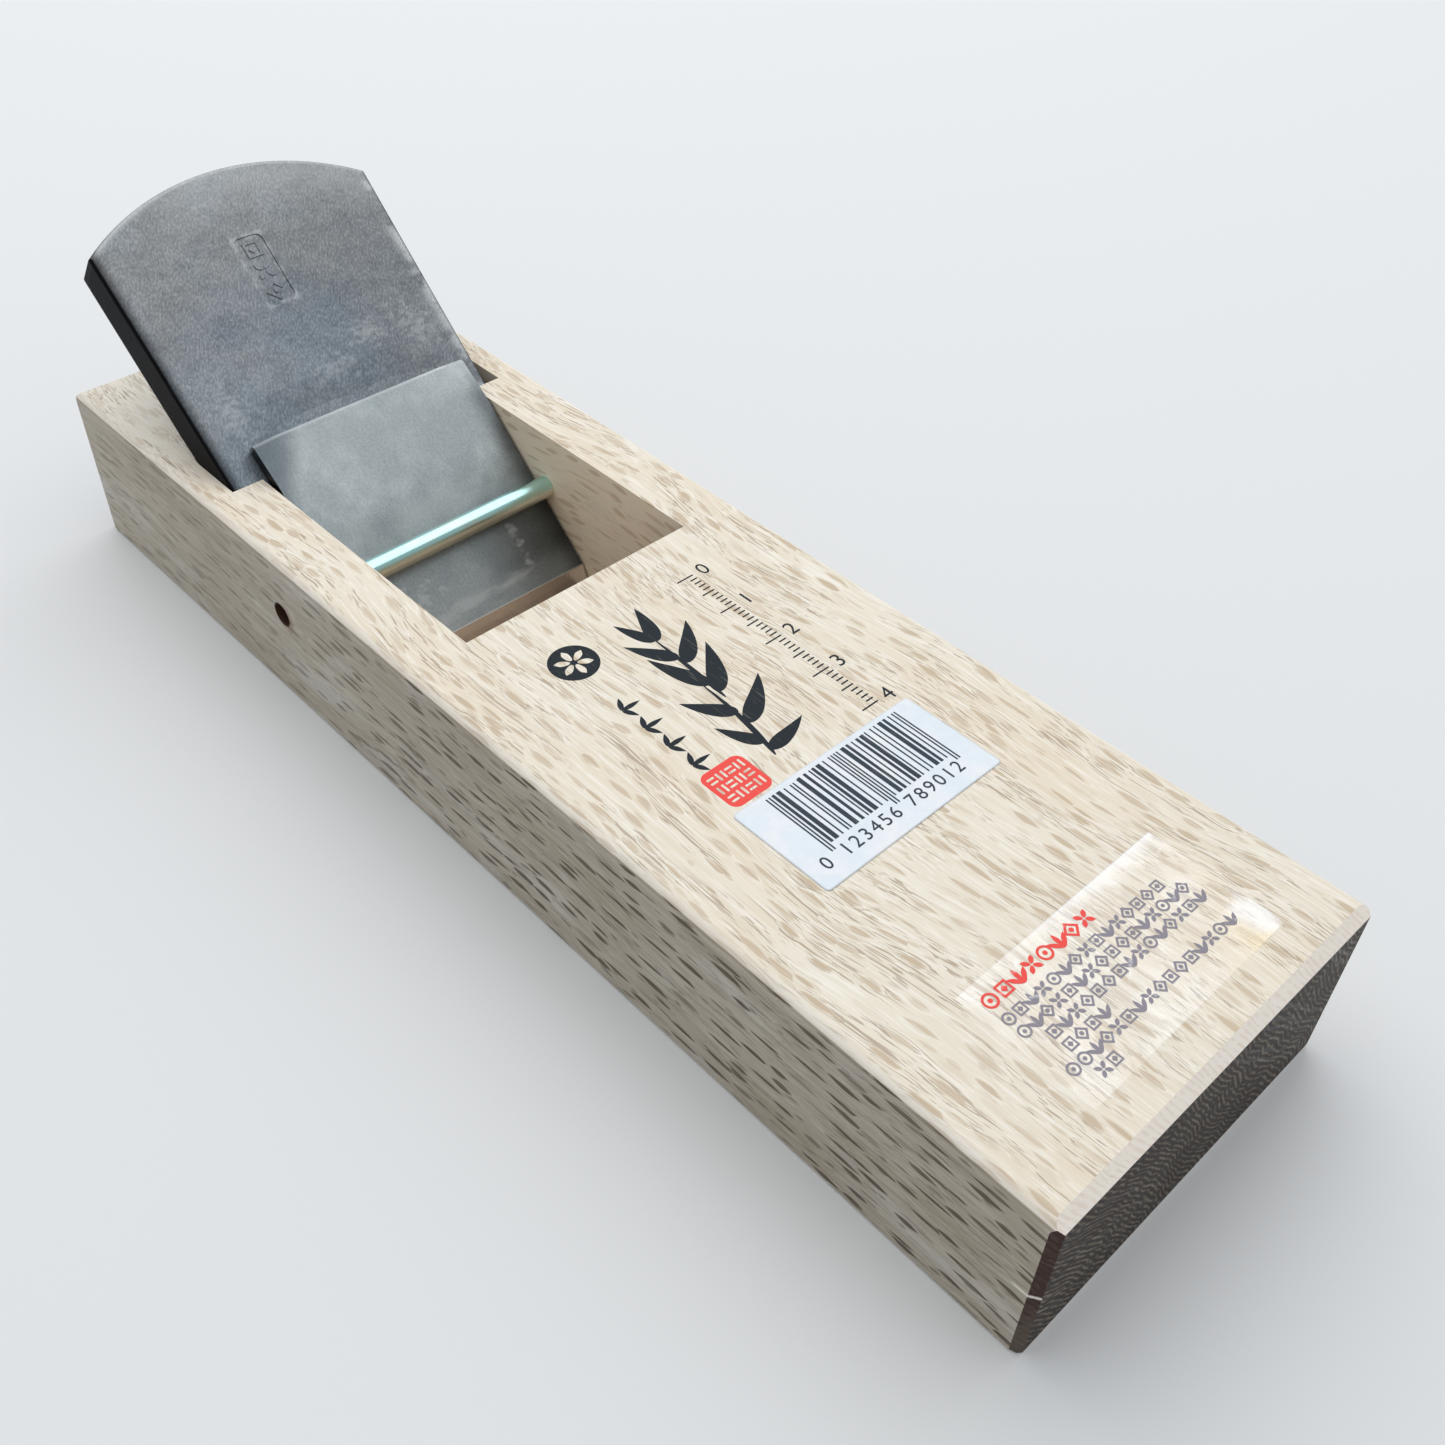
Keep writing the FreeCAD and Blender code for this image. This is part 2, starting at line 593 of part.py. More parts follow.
# The iron of the chip breaker, its two top corners bent down onto the blade
def make_chip_breaker_iron():
    body = new_body("chip_breaker_iron")
    top = "(-Sizes.breaker_length)"
    fold_top = "(%s - Sizes.breaker_ear_across)" % BREAKER_HALF

    # Each ear turns down about its diagonal fold until its corner meets the blade's face,
    # and the slab and the ear both run on to the mitre of the fold
    fold_length = "sqrt(Sizes.breaker_ear_down ^ 2 + Sizes.breaker_ear_across ^ 2)"
    corner_reach = "(Sizes.breaker_ear_down * Sizes.breaker_ear_across / %s)" % fold_length
    bend = "asin(Sizes.breaker_length * sin(Sizes.breaker_tilt) / %s)" % corner_reach
    mitre = "(Sizes.breaker_thickness * tan(%s / 2))" % bend
    mitre_x = "(%s * Sizes.breaker_ear_across / %s)" % (mitre, fold_length)
    mitre_y = "(%s * Sizes.breaker_ear_down / %s)" % (mitre, fold_length)
    slab_top = "(%s + %s * %s / Sizes.breaker_ear_down)" % (fold_top, mitre, fold_length)
    slab_side = "(%s + Sizes.breaker_ear_down - %s * %s / Sizes.breaker_ear_across)" % (
        top, mitre, fold_length,
    )
    outline = new_sketch(body, "breaker_outline", "XY_Plane")
    polygon(outline, [
        (top, "-" + slab_top),
        (slab_side, "-" + BREAKER_HALF),
        ("0", "-" + BREAKER_HALF),
        ("0", BREAKER_HALF),
        (slab_side, BREAKER_HALF),
        (top, slab_top),
    ])
    pad(body, outline, "breaker_slab", "Sizes.breaker_thickness")
    cut_breaker_bevel(body)
    step = new_sketch(body, "breaker_weld_section", "XZ_Plane")
    scarf_end = "-(Sizes.breaker_steel_reach + Sizes.breaker_steel_scarf)"
    polygon(step, [
        (scarf_end, "0"),
        ("-Sizes.breaker_steel_reach", "Sizes.breaker_steel_thickness"),
        ("Sizes.overrun", "Sizes.breaker_steel_thickness"),
        ("Sizes.overrun", "-Sizes.overrun"),
        (scarf_end, "-Sizes.overrun"),
    ])
    pocket(body, step, "breaker_weld_step", ACROSS_BREAKER)

    down = value_of("Sizes.breaker_ear_down")
    across = value_of("Sizes.breaker_ear_across")
    for name, mark, sign in (("left_ear", "-", -1), ("right_ear", "", 1)):
        ear = new_sketch(body, name + "_outline", "XY_Plane")
        fold = FreeCAD.Vector(down, sign * across, 0)
        turn = "%s(-%s)" % (mark, bend)
        ear.AttachmentOffset = FreeCAD.Placement(
            FreeCAD.Vector(0, 0, 0), FreeCAD.Rotation(fold, value_of(turn))
        )
        ear.setExpression("AttachmentOffset.Base.x", top)
        ear.setExpression("AttachmentOffset.Base.y", mark + fold_top)
        ear.setExpression("AttachmentOffset.Rotation.Angle", turn)
        polygon(ear, [
            ("0", "0"),
            (mitre_x, "%s(-%s)" % (mark, mitre_y)),
            (
                "Sizes.breaker_ear_down + " + mitre_x,
                "%s(Sizes.breaker_ear_across - %s)" % (mark, mitre_y),
            ),
            ("Sizes.breaker_ear_down", mark + "Sizes.breaker_ear_across"),
            ("0", mark + "Sizes.breaker_ear_across"),
        ])
        pad(body, ear, name, "Sizes.breaker_thickness")

    # The bent ears are ground flush with the sides and the top edge
    past_top = "(-Sizes.breaker_length - Sizes.overrun)"
    past_side = "(%s + Sizes.overrun)" % BREAKER_HALF
    flush = new_sketch(body, "flush_outline", "XY_Plane")
    polygon(flush, [
        (past_top, "-" + past_side),
        ("0", "-" + past_side),
        ("0", "-" + BREAKER_HALF),
        (top, "-" + BREAKER_HALF),
        (top, BREAKER_HALF),
        ("0", BREAKER_HALF),
        ("0", past_side),
        (past_top, past_side),
    ])
    trimmed = pocket(
        body, flush, "flush_edges", "2 * (Sizes.breaker_thickness + Sizes.overrun)"
    )

    # The folds are soft on the outside and the top edge is broken by a narrow chamfer
    thick = value_of("Sizes.breaker_thickness")
    softened = dress(
        body, "PartDesign::Fillet", "fold_rounds", trimmed,
        lambda box: box.ZMin > 0.9 * thick and box.XLength > 0.8 * down
        and 0.8 * across < box.YLength < 2 * across,
        "Radius", "Sizes.breaker_fold_round",
    )
    dress(
        body, "PartDesign::Chamfer", "top_edge_chamfer", softened,
        lambda box: box.ZMin > 0.9 * thick and box.XLength < thick / 2
        and box.YLength > 2 * across and box.XMax < -value_of("Sizes.breaker_length") / 1.1,
        "Size", "Sizes.breaker_top_chamfer",
    )
    seat_on_face(body, BREAKER_X, "0", BREAKER_Z, BREAKER_SLOPE)
    return body


# The steel strip under the chip breaker's edge
def make_chip_breaker_steel():
    body = new_body("chip_breaker_steel")
    scarf_end = "(-Sizes.breaker_steel_reach - Sizes.breaker_steel_scarf)"
    outline = new_sketch(body, "breaker_steel_outline", "XY_Plane")
    polygon(outline, [
        (scarf_end, "-" + BREAKER_HALF),
        ("0", "-" + BREAKER_HALF),
        ("0", BREAKER_HALF),
        (scarf_end, BREAKER_HALF),
    ])
    pad(body, outline, "breaker_steel_slab", "Sizes.breaker_steel_thickness")
    cut_breaker_bevel(body)
    above = "(Sizes.breaker_steel_thickness + Sizes.overrun)"
    scarf = new_sketch(body, "breaker_scarf_section", "XZ_Plane")
    polygon(scarf, [
        (scarf_end, "0"),
        ("-Sizes.breaker_steel_reach", "Sizes.breaker_steel_thickness"),
        ("-Sizes.breaker_steel_reach", above),
        ("%s - Sizes.overrun" % scarf_end, above),
        ("%s - Sizes.overrun" % scarf_end, "0"),
    ])
    pocket(body, scarf, "breaker_steel_scarf", ACROSS_BREAKER)
    seat_on_face(body, BREAKER_X, "0", BREAKER_Z, BREAKER_SLOPE)
    return body


# The steel pin, driven through the opening into both cheeks
def make_cross_pin():
    body = new_body("cross_pin")
    reach = "(%s + Sizes.pin_seat_depth - Sizes.pin_end_gap)" % OPENING_HALF
    section = new_sketch(body, "pin_section", "XZ_Plane")
    section.setExpression("AttachmentOffset.Base.z", reach)
    circle(section, PIN_X, PIN_Z, "Sizes.pin_diameter / 2")
    rod = pad(body, section, "pin_rod", "2 * " + reach, reverse=True)
    thin = value_of("Sizes.pin_diameter")
    dress(
        body, "PartDesign::Chamfer", "pin_ends", rod,
        lambda box: box.YLength < thin,
        "Size", "Sizes.pin_end_chamfer",
    )
    return body


def sheet_on_top(name, near_end, along, across, shift, thickness):
    """A thin rectangle lying on top of the block near its leading end."""
    body = new_body(name)
    outline = new_sketch(body, name + "_outline", "XY_Plane")
    outline.setExpression("AttachmentOffset.Base.z", TOP)
    near = "(%s - %s)" % (HALF_LENGTH, near_end)
    far = "(%s - %s)" % (near, along)
    left = "(%s - %s / 2)" % (shift, across)
    right = "(%s + %s / 2)" % (shift, across)
    polygon(outline, [(far, left), (near, left), (near, right), (far, right)])
    pad(body, outline, name + "_sheet", thickness)
    return body


# The paper label stuck on the block
def make_paper_label():
    return sheet_on_top(
        "paper_label", "Sizes.label_near_end", "Sizes.label_along",
        "Sizes.label_across", "Sizes.label_shift", "Sizes.label_thickness",
    )


# The clear film stuck on the block's leading end
def make_clear_film():
    return sheet_on_top(
        "clear_film", "Sizes.film_near_end", "Sizes.film_along",
        "Sizes.film_across", "Sizes.film_shift", "Sizes.film_thickness",
    )


parts = [
    make_dai(),
    make_blade_iron(),
    make_blade_steel(),
    make_chip_breaker_iron(),
    make_chip_breaker_steel(),
    make_cross_pin(),
    make_paper_label(),
    make_clear_film(),
]
doc.recompute()

for item in doc.Objects:
    if "Invalid" in item.State or "Error" in item.State:
        raise RuntimeError("%s did not compute: %s" % (item.Label, item.State))
for item in parts:
    if item.Shape.isNull() or not item.Shape.isValid() or len(item.Shape.Solids) != 1:
        raise RuntimeError("%s is not one sound solid" % item.Label)

os.makedirs("parts", exist_ok=True)
for item in parts:
    item.Shape.exportStep("parts/%s.step" % item.Label)
    print("%-20s %10.1f mm3" % (item.Label, item.Shape.Volume))
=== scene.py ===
import math
import random

import bmesh
import bpy
from mathutils import Matrix, Vector, noise


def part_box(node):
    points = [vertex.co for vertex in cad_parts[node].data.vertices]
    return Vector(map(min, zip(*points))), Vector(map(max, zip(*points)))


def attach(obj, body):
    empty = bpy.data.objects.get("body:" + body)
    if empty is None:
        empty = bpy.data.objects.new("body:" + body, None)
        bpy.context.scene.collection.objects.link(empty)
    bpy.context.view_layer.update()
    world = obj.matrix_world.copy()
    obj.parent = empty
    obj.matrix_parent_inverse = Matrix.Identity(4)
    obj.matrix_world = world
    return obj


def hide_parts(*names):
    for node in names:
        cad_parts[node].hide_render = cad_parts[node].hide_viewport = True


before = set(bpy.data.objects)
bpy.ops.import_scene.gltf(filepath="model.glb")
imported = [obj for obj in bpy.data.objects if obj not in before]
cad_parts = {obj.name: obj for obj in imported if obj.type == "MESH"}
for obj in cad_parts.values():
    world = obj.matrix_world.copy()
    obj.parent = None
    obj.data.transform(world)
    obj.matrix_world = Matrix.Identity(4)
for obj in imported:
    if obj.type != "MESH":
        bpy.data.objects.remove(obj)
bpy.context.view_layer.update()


# Oak block. One piece of white oak, split so that its broad rays slant through it, then planed.
# The rays show as spindle flecks on the top and the sides and as wavy lines on the sawn ends, which
# have darkened. The opening for the blade is chopped out by hand.
MM = 0.001
RAY_SLANT = math.radians(45)
END_SLANT = math.radians(38)
SIDE_PITCH = (7.2, 1.9)
SIDE_HALF_LENGTH = (1.8, 3.5)
SIDE_HALF_WIDTH = (0.22, 0.40)
FLECK_PITCH = (6.0, 2.1)
FLECK_HALF_LENGTH = (1.7, 3.1)
FLECK_HALF_WIDTH = (0.24, 0.43)
SMALL_PITCH = (4.6, 1.7)
SMALL_HALF_LENGTH = (0.8, 1.7)
SMALL_HALF_WIDTH = (0.13, 0.24)
REAR_FROM, REAR_TO = -58.0, -92.0
LEADING_FROM, LEADING_TO = -80.0, 35.0
END_LINE_PITCH = 0.42
BLOCK_HALF_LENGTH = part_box("dai")[1].x / MM
BLOCK_HALF_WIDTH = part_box("dai")[1].y / MM
BLOCK_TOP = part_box("dai")[1].z / MM

OAK_CREAM = (0.825, 0.745, 0.610, 1)
OAK_PALE = (0.875, 0.808, 0.692, 1)
OAK_HAIR = (0.975, 0.930, 0.850, 1)
TOP_FLECK = (0.600, 0.480, 0.345, 1)
TOP_PORE = (0.330, 0.225, 0.140, 1)
# Darker copies of the oak's colours for the sides: painted shade
SIDE_OAK_SHADED = (0.555, 0.500, 0.408, 1)
SIDE_PALE_SHADED = (0.664, 0.611, 0.522, 1)
SIDE_BLOOM = (0.800, 0.785, 0.755, 1)
SIDE_FLECK = (0.155, 0.122, 0.088, 1)
ARRIS_PALE = (0.970, 0.900, 0.810, 1)
CUT_TAN = (0.419, 0.311, 0.216, 1)
WALL_TAN = (0.972, 0.841, 0.658, 1)
WALL_FLECK = (0.620, 0.460, 0.310, 1)
END_BROWN = (0.037, 0.028, 0.022, 1)
END_LINE = (0.258, 0.213, 0.168, 1)
CORNER_BROWN = (0.046, 0.016, 0.010, 1)
CORNER_GREY = (0.120, 0.090, 0.068, 1)
CHAMFER_GREY = (0.989, 0.913, 0.826, 1)
HOLE_SHADE_BROWN = (0.070, 0.030, 0.018, 1)
HOLE_STAIN = (0.330, 0.165, 0.105, 1)
SPLINTER_RISE = 14.4
SPLINTER_START = 108.8
PIN_MIDDLE = (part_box("cross_pin")[0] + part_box("cross_pin")[1]) / 2 / MM
PIN_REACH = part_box("cross_pin")[1].y / MM
PIN_RADIUS = (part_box("cross_pin")[1].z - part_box("cross_pin")[0].z) / 2 / MM


class Finish:
    """One procedural material. Each call adds a node and gives back its main output."""

    def __init__(self, name):
        self.material = bpy.data.materials.new(name)
        self.material.use_nodes = True
        self.tree = self.material.node_tree
        self.surface = self.tree.nodes["Principled BSDF"]

    def feed(self, socket, value):
        if isinstance(value, bpy.types.NodeSocket):
            self.tree.links.new(value, socket)
        else:
            socket.default_value = value

    def add(self, kind, settings=None, **inputs):
        node = self.tree.nodes.new("ShaderNode" + kind)
        for key, value in (settings or {}).items():
            setattr(node, key, value)
        for key, value in inputs.items():
            self.feed(node.inputs[key.replace("_", " ")], value)
        return node

    def math(self, operation, first, second=0.0):
        node = self.add("Math", {"operation": operation})
        self.feed(node.inputs[0], first)
        self.feed(node.inputs[1], second)
        return node.outputs[0]

    def vector(self, operation, first, second):
        node = self.add("VectorMath", {"operation": operation})
        self.feed(node.inputs[0], first)
        self.feed(node.inputs[1], second)
        return node.outputs[0]

    def product(self, *values):
        total = values[0]
        for value in values[1:]:
            total = self.math("MULTIPLY", total, value)
        return total

    def total(self, *values):
        amount = values[0]
        for value in values[1:]:
            amount = self.math("ADD", amount, value)
        return amount

    def fade(self, value, start, end, low=0.0, high=1.0):
        """Goes smoothly from low to high while the value goes from start to end."""
        node = self.add("MapRange", {"interpolation_type": "SMOOTHSTEP"}, Value=value,
                        From_Min=start, From_Max=end, To_Min=low, To_Max=high)
        return node.outputs[0]

    def mix(self, share, first, second):
        node = self.add("Mix", {"data_type": "RGBA"})
        for index, value in ((0, share), (6, first), (7, second)):
            self.feed(node.inputs[index], value)
        return node.outputs[2]

    def darken(self, share, colour, factor):
        node = self.add("Mix", {"data_type": "RGBA", "blend_type": "MULTIPLY"})
        for index, value in ((0, share), (6, colour), (7, factor)):
            self.feed(node.inputs[index], value)
        return node.outputs[2]

    def turn(self, vector, scale=(1, 1, 1), angle=(0, 0, 0), move=(0, 0, 0)):
        node = self.add("Mapping", None, Vector=vector, Scale=scale, Rotation=angle, Location=move)
        return node.outputs[0]

    def split(self, vector):
        return self.add("SeparateXYZ", None, Vector=vector).outputs

    def join(self, x, y, z):
        return self.add("CombineXYZ", None, X=x, Y=y, Z=z).outputs[0]

    def cloud(self, place, scale, stretch=(1, 1, 1), detail=2.0, move=(0, 0, 0), output="Fac"):
        """Soft noise, with so many lumps to the millimetre."""
        spot = self.turn(place, scale=stretch, move=move)
        node = self.add("TexNoise", None, Vector=spot, Scale=scale, Detail=detail)
        return node.outputs[output]

    def sway(self, place, scale, stretch, reach):
        """Bends a place by soft noise, so far each way."""
        drift = self.cloud(place, scale, stretch, 1.0, output="Color")
        drift = self.vector("SUBTRACT", drift, (0.5, 0.5, 0.5))
        return self.vector("ADD", place, self.vector("MULTIPLY", drift, reach))

    def bumps(self, height, depth_mm, strength=1.0):
        node = self.add("Bump", None, Strength=strength, Distance=depth_mm * MM, Height=height)
        self.feed(self.surface.inputs["Normal"], node.outputs[0])

    def millimetres(self, **options):
        """The place on the part in millimetres, turned and moved as asked."""
        spot = self.add("TexCoord").outputs["Object"]
        scale = options.pop("scale", (1, 1, 1))
        return self.turn(spot, scale=tuple(s / MM for s in scale), **options)

    def facing(self):
        """How much the surface faces along each axis, from 0 to 1."""
        spot = self.add("TexCoord").outputs["Normal"]
        return self.split(self.vector("ABSOLUTE", spot, (0, 0, 0)))


def spindles(finish, grain, pitch, half_length, half_width, offset):
    """Pointed flecks strewn along the grain. Gives how deep in a fleck a point is, its chance and
    how far to one side of the fleck's middle it is."""
    cells = finish.turn(grain, scale=(1 / pitch[0], 1 / pitch[1], 0), move=offset)
    points = finish.add("TexVoronoi", {"voronoi_dimensions": "2D"}, Vector=cells, Scale=1.0,
                        Randomness=0.88)
    away = finish.split(finish.vector("SUBTRACT", cells, points.outputs["Position"]))
    chance = finish.add("SeparateColor", None, Color=points.outputs["Color"]).outputs
    length = finish.fade(chance[0], 0.0, 1.0, half_length[0] / pitch[0], half_length[1] / pitch[0])
    width = finish.fade(chance[1], 0.0, 1.0, half_width[0] / pitch[1], half_width[1] / pitch[1])
    along = finish.math("POWER", finish.math("DIVIDE", finish.math("ABSOLUTE", away[0]), length), 2.0)
    across = finish.math("DIVIDE", finish.math("ABSOLUTE", away[1]), width)
    return finish.math("ADD", along, across), chance[2], away[1]


oak = Finish("white_oak")
spot = oak.millimetres()
face = oak.facing()
bent = oak.sway(spot, 0.024, (0.8, 1, 1), (0.0, 8.0, 8.0))
bent = oak.sway(bent, 0.07, (0.7, 1, 1), (0.0, 2.0, 2.0))
grain = oak.turn(bent, angle=(-RAY_SLANT, 0, 0))
ragged = oak.sway(grain, 1.4, (0.4, 1, 1), (0.6, 0.18, 0.0))

inside, luck, aside = spindles(oak, ragged, FLECK_PITCH, FLECK_HALF_LENGTH, FLECK_HALF_WIDTH, (0.3, 0.1, 0))
kept = oak.fade(luck, 0.12, 0.34)
fleck = oak.product(oak.fade(inside, 1.34, 0.60), kept)
inside_small, luck_small = spindles(oak, ragged, SMALL_PITCH, SMALL_HALF_LENGTH, SMALL_HALF_WIDTH,
                                    (0.65, 0.4, 0))[:2]
small_fleck = oak.product(oak.fade(inside_small, 1.25, 0.65), oak.fade(luck_small, 0.30, 0.60))

# On the sides the rays run longer and straighter
level = oak.turn(oak.sway(spot, 0.030, (0.7, 1, 1), (0.0, 3.4, 3.4)), angle=(-RAY_SLANT, 0, 0))
level = oak.sway(level, 1.3, (0.4, 1, 1), (0.7, 0.17, 0.0))
inside_level, luck_level = spindles(oak, level, SIDE_PITCH, SIDE_HALF_LENGTH, SIDE_HALF_WIDTH,
                                    (0.2, 0.7, 0))[:2]
side_fleck = oak.product(oak.fade(inside_level, 1.16, 0.66), oak.fade(luck_level, 0.06, 0.20))

# The fibres part round each ray, and the fine open pores run between them as short straight dashes
push = oak.product(oak.math("SIGN", aside), oak.fade(inside, 3.2, 0.9), kept, -0.34)
fibre = oak.vector("ADD", grain, oak.join(0.0, push, 0.0))
pore_band = oak.product(oak.fade(oak.cloud(fibre, 1.0, (0.05, 0.40, 0.05), 1.0), 0.40, 0.56),
                        oak.fade(inside, 0.9, 1.2))
short_pores = oak.fade(oak.cloud(grain, 1.0, (0.26, 5.2, 2.0), 1.0), 0.60, 0.67)
long_pores = oak.fade(oak.cloud(fibre, 1.0, (0.055, 4.2, 1.8), 1.0, (0, 0, 30)), 0.595, 0.65)
pores = oak.product(oak.math("MAXIMUM", short_pores, long_pores), pore_band)
hairs = oak.fade(oak.cloud(fibre, 1.0, (0.09, 3.4, 2.1), 1.0, (40, 0, 0)), 0.50, 0.68)
streak = oak.cloud(fibre, 1.0, (0.045, 1.2, 0.6), 3.0)
patch = oak.cloud(grain, 1.0, (0.022, 0.085, 0.085), 2.0)

top_wood = oak.mix(oak.fade(streak, 0.32, 0.68), OAK_CREAM, OAK_PALE)
top_wood = oak.darken(oak.fade(patch, 0.42, 0.68), top_wood, (0.975, 0.940, 0.900, 1))
threads = oak.fade(hairs, 0.0, 0.8, 1.0, 0.62)
rear = oak.fade(oak.split(spot)[0], REAR_FROM, REAR_TO)
faint = oak.product(threads, oak.fade(rear, 0.0, 1.0, 1.0, 0.60))
top_wood = oak.mix(oak.product(hairs, 0.62), top_wood, OAK_HAIR)
# Painted light: towards the rear, on the left, the top is lightened towards the pale hair colour, where the
# blade's shadow falls
top_wood = oak.mix(oak.product(rear, oak.fade(oak.split(spot)[1], 4.0, -22.0), 0.50), top_wood, OAK_HAIR)
top_wood = oak.mix(oak.product(small_fleck, faint, 0.42), top_wood, TOP_FLECK)
top_wood = oak.mix(oak.product(fleck, faint, oak.fade(luck, 0.0, 1.0, 0.58, 0.95)), top_wood, TOP_FLECK)
top_wood = oak.mix(oak.product(pores, 0.62), top_wood, TOP_PORE)

# The sides start from darker copies of the oak's colours, as painted shade, under their own flecks and pores
side_wood = oak.mix(oak.fade(streak, 0.32, 0.68), SIDE_OAK_SHADED, SIDE_PALE_SHADED)
leading = oak.fade(oak.split(spot)[0], LEADING_FROM, LEADING_TO)
deep = oak.fade(leading, 0.0, 1.0, 0.40, 1.0)
bloom = oak.fade(oak.cloud(bent, 1.0, (0.05, 0.16, 0.16), 4.0, (9, 9, 0)), 0.54, 0.70)
# Painted shade: the sides darken a little towards the leading end
side_wood = oak.darken(leading, side_wood, (0.94, 0.925, 0.91, 1))
side_wood = oak.mix(oak.product(bloom, 0.42), side_wood, SIDE_BLOOM)
side_wood = oak.darken(oak.fade(patch, 0.40, 0.66), side_wood, (0.90, 0.875, 0.85, 1))
side_wood = oak.mix(oak.product(hairs, 0.28), side_wood, OAK_PALE)
side_wood = oak.mix(oak.product(pores, deep, 0.42), side_wood, SIDE_FLECK)
side_wood = oak.mix(oak.product(small_fleck, threads, deep, 0.62), side_wood, SIDE_FLECK)
side_fleck = oak.product(side_fleck, oak.fade(hairs, 0.0, 1.0, 1.0, 0.78), deep)
side_wood = oak.mix(side_fleck, side_wood, SIDE_FLECK)
# Painted shade: the sides are darkened where they round over at their long edges
side_wood = oak.darken(oak.fade(face[1], 0.995, 0.90), side_wood, (0.76, 0.74, 0.72, 1))

# On the ends the rays are fine pale lines, broken by the pores between them
lines = oak.turn(bent, angle=(-END_SLANT, 0, 0))
lines = oak.sway(oak.sway(lines, 0.14, (1, 1, 1), (0, 2.2, 0)), 0.9, (1, 1, 0.4), (0, 0.42, 0))
ripple = oak.math("PINGPONG", oak.math("DIVIDE", oak.split(lines)[1], END_LINE_PITCH), 1.0)
broken = oak.cloud(lines, 1.0, (1.3, 1.9, 0.42), 4.0)
ray_lines = oak.product(oak.fade(ripple, 0.25, 0.95), oak.fade(broken, 0.36, 0.60))
end_wood = oak.mix(ray_lines, END_BROWN, END_LINE)
end_wood = oak.darken(oak.fade(patch, 0.36, 0.60), end_wood, (0.72, 0.66, 0.64, 1))

wall_wood = oak.mix(oak.fade(streak, 0.34, 0.66), WALL_TAN, oak.mix(0.35, WALL_TAN, OAK_PALE))
wall_wood = oak.mix(oak.product(pores, 0.35), wall_wood, WALL_FLECK)
wall_wood = oak.mix(oak.product(fleck, 0.60), wall_wood, WALL_FLECK)
cut_wood = oak.darken(oak.fade(broken, 0.42, 0.62), CUT_TAN, (0.80, 0.76, 0.72, 1))
# Painted shade: the sloping cut faces of the opening darken towards the right cheek
cut_wood = oak.darken(oak.fade(oak.split(spot)[1], 6.0, 22.0), cut_wood, (0.50, 0.45, 0.40, 1))
low_corner = oak.fade(oak.total(oak.split(spot)[2], oak.product(broken, 16.0)), 22.0, 12.0)
corner_wood = oak.mix(low_corner, CORNER_BROWN, CORNER_GREY)
corner_wood = oak.mix(oak.product(ray_lines, 0.18), corner_wood, END_LINE)
chamfer_wood = oak.darken(ray_lines, CHAMFER_GREY, (0.92, 0.87, 0.84, 1))

apart = oak.split(oak.vector("ABSOLUTE", spot, (0, 0, 0)))
near_end = oak.fade(apart[0], BLOCK_HALF_LENGTH - 3.0, BLOCK_HALF_LENGTH - 2.5)
outer = oak.fade(apart[1], BLOCK_HALF_WIDTH - 3.4, BLOCK_HALF_WIDTH - 3.0)
is_side = oak.fade(face[1], 0.80, 0.88)
is_end = oak.product(oak.fade(face[0], 0.80, 0.92), near_end)
is_corner = oak.product(oak.fade(oak.product(face[0], face[1]), 0.20, 0.30), near_end)
is_chamfer = oak.product(oak.fade(oak.product(face[0], face[2]), 0.20, 0.30), near_end)
is_hollow = oak.math("SUBTRACT", 1.0, oak.math("MAXIMUM", outer, near_end))
is_wall = oak.product(is_side, is_hollow)
is_cut = oak.product(oak.math("SUBTRACT", 1.0, oak.math("MAXIMUM", is_side, oak.fade(face[2], 0.86, 0.96))),
                     is_hollow)

# The inside of the pin's hole is painted dark as shade, and the wood round its mouth is stained where the pin
# was driven in with oil on it
off_pin = oak.vector("SUBTRACT", oak.join(oak.split(spot)[0], 0.0, oak.split(spot)[2]),
                     (PIN_MIDDLE.x, 0.0, PIN_MIDDLE.z))
off_pin = oak.add("VectorMath", {"operation": "LENGTH"}, Vector=off_pin).outputs["Value"]
left_cheek = oak.fade(oak.split(spot)[1], 1.5 - PIN_REACH, 0.5 - PIN_REACH)
# Painted shade: the inside of the hole is darkened
hole_shade = oak.product(oak.fade(off_pin, PIN_RADIUS + 0.35, PIN_RADIUS + 0.10), left_cheek)
stain = oak.fade(oak.total(off_pin, oak.product(broken, -3.0)), PIN_RADIUS + 0.2, PIN_RADIUS - 1.2)
stain = oak.product(stain, oak.fade(oak.split(spot)[0], PIN_MIDDLE.x, PIN_MIDDLE.x + 2.0), is_side,
                    left_cheek, 0.55)

# A torn fibre stands pale at the near leading corner
off_splinter = oak.math("ABSOLUTE", oak.math("SUBTRACT", oak.split(spot)[2], SPLINTER_RISE))
splinter = oak.product(oak.fade(oak.total(off_splinter, oak.product(broken, 0.5)), 0.62, 0.40),
                       oak.fade(oak.split(spot)[0], SPLINTER_START, SPLINTER_START + 1.2),
                       oak.math("SUBTRACT", 1.0, is_end), oak.fade(oak.split(spot)[1], 0.0, -10.0))

